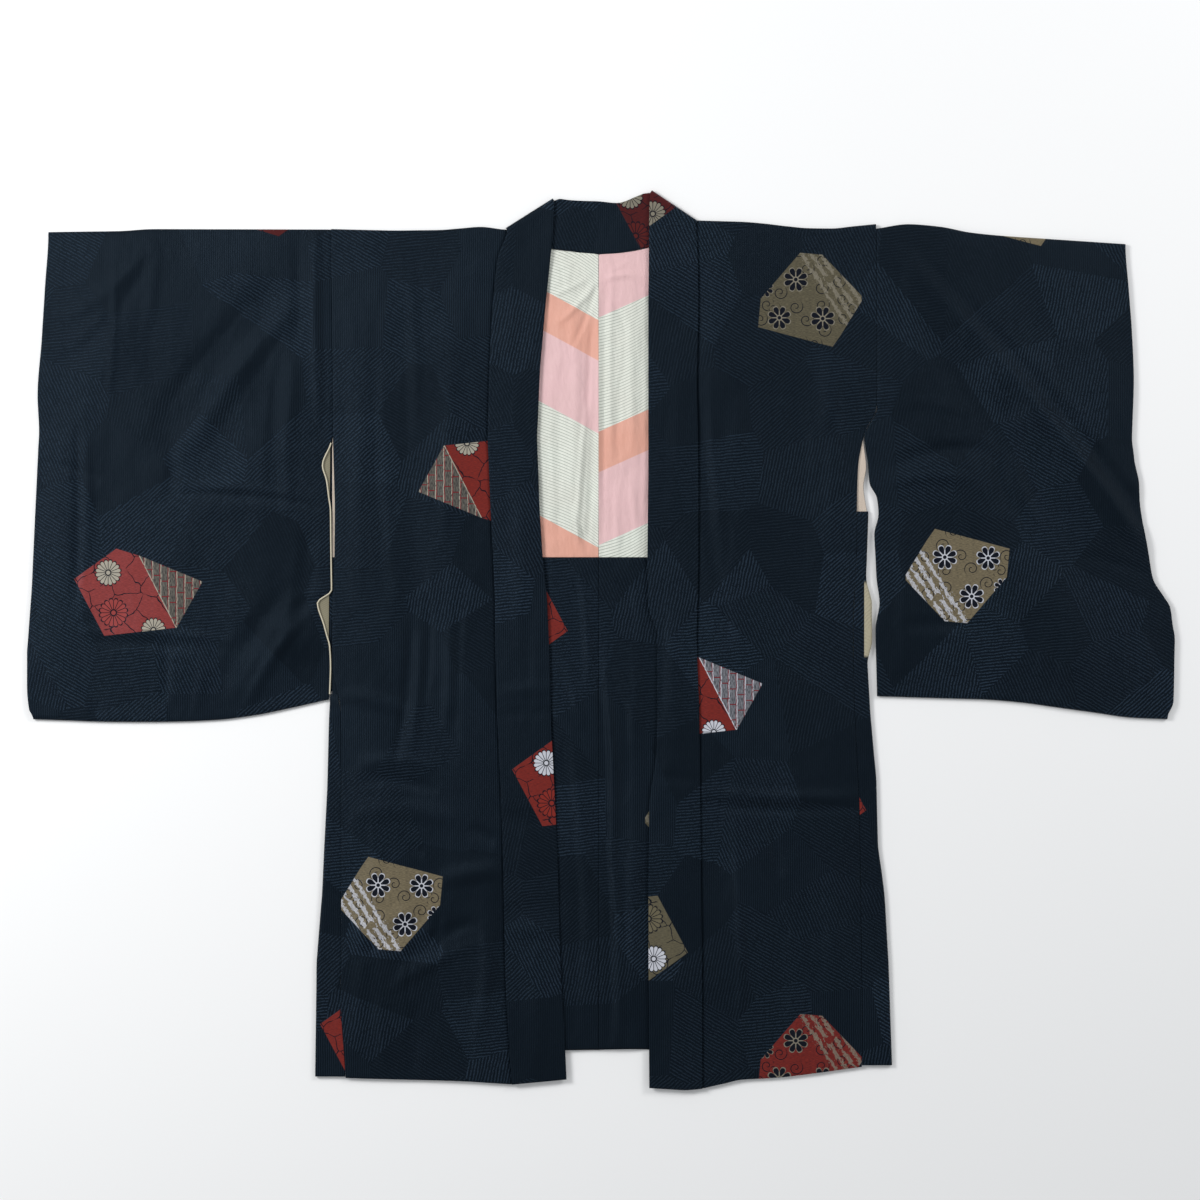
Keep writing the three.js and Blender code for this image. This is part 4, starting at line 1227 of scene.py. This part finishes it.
lining_left_cloth = lining_cloth("lining_left_silk", 0.55, -0.10)
lining_right_cloth = lining_cloth("lining_right_silk", -0.45, 0.02)
sleeve_lining_cloth = plain_silk("sleeve_lining_silk", colour(140, 134, 112), colour(104, 99, 80))
print("linings: two body panels and the sleeves")

# %% [markdown]
# ## The pieces
# Every node of the frame now gets its cloth. A silk shell less than a millimetre thick is
# thinner than the solid it stands for, which leaves the wrinkles room. The collar alone is
# several times as thick, because the real one is folded in four over a stiff core.

# %% Make every piece
SHELL = 0.7 * MM
LINING_SHELL = 0.55 * MM
BAND_SHELL = 2.4 * MM
FRONT_HEIGHT = 4.0  # the height of the fronts' outer side at their edges, in millimetres
BAND_HEIGHT = 6.0
ALONG, ACROSS = 4.4 * MM, 3.4 * MM
ARMHOLE_TUCKS = {"sleeve_left": (3.6, 224, -56), "sleeve_right": (-2.4, 262, 262)}
GUSSET_TUCK = 4.0
FRONT_TUCKS = {"body_left": 2.5, "body_right": -2.5}
BACK_TUCK = 1.6
FINER = {"lining": 0.55, "facing": 0.8}  # the sharper folds inside the back need closer points

pieces = {}
for node, turned in (
    ("body_left", SHOULDER),
    ("body_right", SHOULDER),
    ("sleeve_left", SHOULDER),
    ("sleeve_right", SHOULDER),
    ("gusset_left", SIDE),
    ("gusset_right", SIDE),
):
    net = raise_layers(fine_net(node, ALONG, ACROSS), UPPER_FOLDS, FRONT_HEIGHT)
    if node in ARMHOLE_TUCKS:
        tuck(net, *ARMHOLE_TUCKS[node])
    if turned == SIDE:
        tuck_top(net, GUSSET_TUCK)
    if node in FRONT_TUCKS:
        tuck_front(net, FRONT_TUCKS[node])
    if node == "body_left":
        tuck_back(net, BACK_TUCK)
    pieces[node] = sheet_piece(node + "_cloth", net, nets[node][1], SHELL, 0.2 * MM, turned)

net = raise_layers(fine_net("collar", ALONG, ACROSS), COLLAR_FOLDS, BAND_HEIGHT, waves=0.6)
pieces["collar"] = sheet_piece("collar_cloth", net, False, BAND_SHELL, 0.9 * MM, COLLAR_BAND)

for node in ("facing_left", "facing_right", "lining_left", "lining_right"):
    finer = FINER[node.split("_")[0]]
    net = raise_inside(fine_net(node, ALONG * finer, ACROSS * finer))
    pieces[node] = sheet_piece(node + "_cloth", net, False, LINING_SHELL, 0.12 * MM, PLAIN, True)
net = fine_net("sleeve_lining_left", ALONG, ACROSS)
pieces["sleeve_lining_left"] = sheet_piece(
    "sleeve_lining_left_cloth", net, False, LINING_SHELL, 0.12 * MM, PLAIN, True
)

# %% Give each its cloth
for node, piece in pieces.items():
    piece.data.materials.clear()
    if node in ground_cloths:
        piece.data.materials.append(ground_cloths[node])
pieces["lining_left"].data.materials.append(lining_left_cloth)
pieces["lining_right"].data.materials.append(lining_right_cloth)
pieces["sleeve_lining_left"].data.materials.append(sleeve_lining_cloth)
print(f"{len(pieces)} pieces of cloth")

# %% [markdown]
# ## Piping and stitches
# The edge of the left sleeve's opening ends in a thin roll of the pale lining. The lining and
# its facing are sewn by hand, in small even stitches. Both follow a path, so Geometry Nodes make
# them: one tree sweeps a round section along a path, and the other sets a stitch every few
# millimetres along it, a little unevenly. The path is a row of points from the pieces' own nets.

# %% Trees that follow a path
def node_tree(name, inputs):
    """A geometry tree with a path as its input, and named inputs for its sizes."""
    tree = bpy.data.node_groups.new(name, "GeometryNodeTree")
    tree.interface.new_socket(name="Path", in_out="INPUT", socket_type="NodeSocketGeometry")
    for label, kind in inputs:
        tree.interface.new_socket(name=label, in_out="INPUT", socket_type="NodeSocket" + kind)
    tree.interface.new_socket(name="Piece", in_out="OUTPUT", socket_type="NodeSocketGeometry")
    return tree, tree.nodes.new("NodeGroupInput").outputs, tree.nodes.new("NodeGroupOutput").inputs


def linked(tree, kind, **values):
    """A node with values or links on its sockets. Underscores stand for spaces in labels."""
    node = tree.nodes.new(kind)
    for label, value in values.items():
        socket = node.inputs[label.replace("_", " ")]
        if isinstance(value, bpy.types.NodeSocket):
            tree.links.new(value, socket)
        else:
            socket.default_value = value
    return node


def finish_tree(tree, given, result, geometry):
    """Ends a tree in real geometry with its material."""
    real = linked(tree, "GeometryNodeRealizeInstances", Geometry=geometry)
    dressed = linked(
        tree, "GeometryNodeSetMaterial", Geometry=real.outputs[0], Material=given["Material"]
    )
    tree.links.new(dressed.outputs[0], result["Piece"])


roll_tree, given, result = node_tree("roll along a path", [("Radius", "Float"), ("Material", "Material")])
path = linked(roll_tree, "GeometryNodeMeshToCurve", Mesh=given["Path"])
section = linked(roll_tree, "GeometryNodeCurvePrimitiveCircle", Resolution=10, Radius=given["Radius"])
swept = linked(
    roll_tree,
    "GeometryNodeCurveToMesh",
    Curve=path.outputs[0],
    Profile_Curve=section.outputs[0],
    Fill_Caps=True,
)
finish_tree(roll_tree, given, result, swept.outputs[0])

stitch_tree, given, result = node_tree(
    "stitches along a path",
    [
        ("Spacing", "Float"),
        ("Length", "Float"),
        ("Width", "Float"),
        ("Unevenness", "Float"),
        ("Seed", "Int"),
        ("Material", "Material"),
    ],
)
path = linked(stitch_tree, "GeometryNodeMeshToCurve", Mesh=given["Path"])
stops = stitch_tree.nodes.new("GeometryNodeCurveToPoints")
stops.mode = "LENGTH"
stitch_tree.links.new(path.outputs[0], stops.inputs["Curve"])
stitch_tree.links.new(given["Spacing"], stops.inputs["Length"])
thread_ball = linked(stitch_tree, "GeometryNodeMeshUVSphere", Segments=6, Rings=5, Radius=0.5)
size = linked(stitch_tree, "ShaderNodeCombineXYZ", X=given["Width"], Y=given["Width"], Z=given["Length"])
wobble = stitch_tree.nodes.new("FunctionNodeRandomValue")
wobble.data_type = "FLOAT"
least = linked(stitch_tree, "ShaderNodeMath")
least.operation = "SUBTRACT"
least.inputs[0].default_value = 1.0
stitch_tree.links.new(given["Unevenness"], least.inputs[1])
stitch_tree.links.new(least.outputs[0], wobble.inputs[2])
wobble.inputs[3].default_value = 1.0
stitch_tree.links.new(given["Seed"], wobble.inputs["Seed"])
uneven_size = stitch_tree.nodes.new("ShaderNodeVectorMath")
uneven_size.operation = "SCALE"
stitch_tree.links.new(size.outputs[0], uneven_size.inputs[0])
stitch_tree.links.new(wobble.outputs[1], uneven_size.inputs["Scale"])
sewn = linked(
    stitch_tree,
    "GeometryNodeInstanceOnPoints",
    Points=stops.outputs["Points"],
    Instance=thread_ball.outputs["Mesh"],
    Rotation=stops.outputs["Rotation"],
    Scale=uneven_size.outputs[0],
)
finish_tree(stitch_tree, given, result, sewn.outputs[0])


# %% Make a piece that follows a path
def along_path(name, tree, points, material, **sizes):
    """A mesh made by a tree along a row of points."""
    mesh = bpy.data.meshes.new(name)
    edges = [(k, k + 1) for k in range(len(points) - 1)]
    mesh.from_pydata([tuple(map(float, point)) for point in points], edges, [])
    piece = bpy.data.objects.new(name, mesh)
    bpy.context.scene.collection.objects.link(piece)
    maker = piece.modifiers.new(tree.name, "NODES")
    maker.node_group = tree
    for item in tree.interface.items_tree:
        label = item.name
        if item.in_out == "INPUT" and label in sizes:
            maker[item.identifier] = sizes[label]
        if item.in_out == "INPUT" and label == "Material":
            maker[item.identifier] = material
    plain_mesh(piece)
    print(f"{name}: {len(piece.data.polygons)} faces")
    return piece


def thread_material(name, light, dark, twist):
    """Twisted thread on Object coordinates, so it needs no map of its own."""
    made = bpy.data.materials.new(name)
    made.use_nodes = True
    tree = made.node_tree
    places = tree.nodes.new("ShaderNodeTexCoord")
    x, y, z = split(Wire(tree, places.outputs["Object"]))
    turns = maths("SINE", (x + y + z * 2) * (TURN / twist)) * 0.5 + 0.5
    cloudy = noise(Wire(tree, places.outputs["Object"]), 200, 2.0)
    shader = tree.nodes["Principled BSDF"]
    plug(tree, shader.inputs["Base Color"], mixed(turns * 0.6 + cloudy * 0.3, light, dark))
    plug(tree, shader.inputs["Roughness"], 0.5 + cloudy * 0.2)
    plug(tree, shader.inputs["Normal"], bump(tree, turns, 0.0001, 0.7))
    shader.inputs["Specular IOR Level"].default_value = 0.3
    shader.inputs["Sheen Weight"].default_value = 0.08
    return made


pale_roll = thread_material("pale_roll_silk", colour(222, 214, 192), colour(176, 168, 144), 0.0016)
navy_thread = thread_material("navy_thread", colour(34, 44, 60), colour(12, 16, 26), 0.0007)

# %% The roll along the sleeve's opening
ROLL_RADIUS = 0.8
sleeve = raise_layers(fine_net("sleeve_left", ALONG, ACROSS), UPPER_FOLDS, FRONT_HEIGHT)
edge = sleeve[:, 0] / MM
on_opening = (edge[:, 2] > 2.5) & (edge[:, 1] > -62) & (edge[:, 1] < 219)
edge = edge[on_opening]
edge = edge[np.argsort(edge[:, 1])] + (ROLL_RADIUS, 0, -0.3)
roll = along_path("opening_roll", roll_tree, edge * MM, pale_roll, Radius=ROLL_RADIUS * MM)

# %% Stitches where the lining meets its facing
STITCHES = {"Spacing": 6.5 * MM, "Length": 3.0 * MM, "Width": 0.45 * MM, "Unevenness": 0.3}
stitch_rows = []
for node in ("facing_left", "facing_right"):
    raised = raise_inside(fine_net(node, ALONG * FINER["facing"], ACROSS * FINER["facing"]))
    starts_on_top = raised[0, :, 1].mean() > raised[-1, :, 1].mean()
    top_row = raised[0 if starts_on_top else -1]
    sewn_row = top_row + np.array((0, -1.6, 0.05)) * MM
    stitch_rows.append(
        along_path(node + "_stitches", stitch_tree, sewn_row, navy_thread, Seed=3, **STITCHES)
    )

# %% [markdown]
# ## Handing over
# Each piece rides on the jacket's one body and stands for its node, which is hidden. The size
# it was cut to is printed. The size is measured on the frame's own net: the width and the length
# of its longest lines, and the area between its points.


def cut_size(node):
    """Width, length and area of a node's cloth, laid out flat."""
    net, closed = nets[node]
    if closed:
        net = np.concatenate([net, net[:1]])
    width = np.linalg.norm(np.diff(net, axis=1), axis=-1).sum(axis=1).max()
    length = np.linalg.norm(np.diff(net, axis=0), axis=-1).sum(axis=0).max()
    first, second = net[1:, 1:] - net[:-1, :-1], net[1:, :-1] - net[:-1, 1:]
    area = np.linalg.norm(np.cross(first, second), axis=-1).sum() / 2
    return round(float(width), 3), round(float(length), 3), round(float(area), 4)


for node, piece in pieces.items():
    width, length, area = cut_size(node)
    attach(piece, "root")
    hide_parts(node)
    print(f"{node}: cut {width * 1000:.0f} x {length * 1000:.0f} mm, {area:.3f} square metres")

for extra, slot in ((roll, "sleeve_lining"), *[(row, "ground_cloth") for row in stitch_rows]):
    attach(extra, "root")
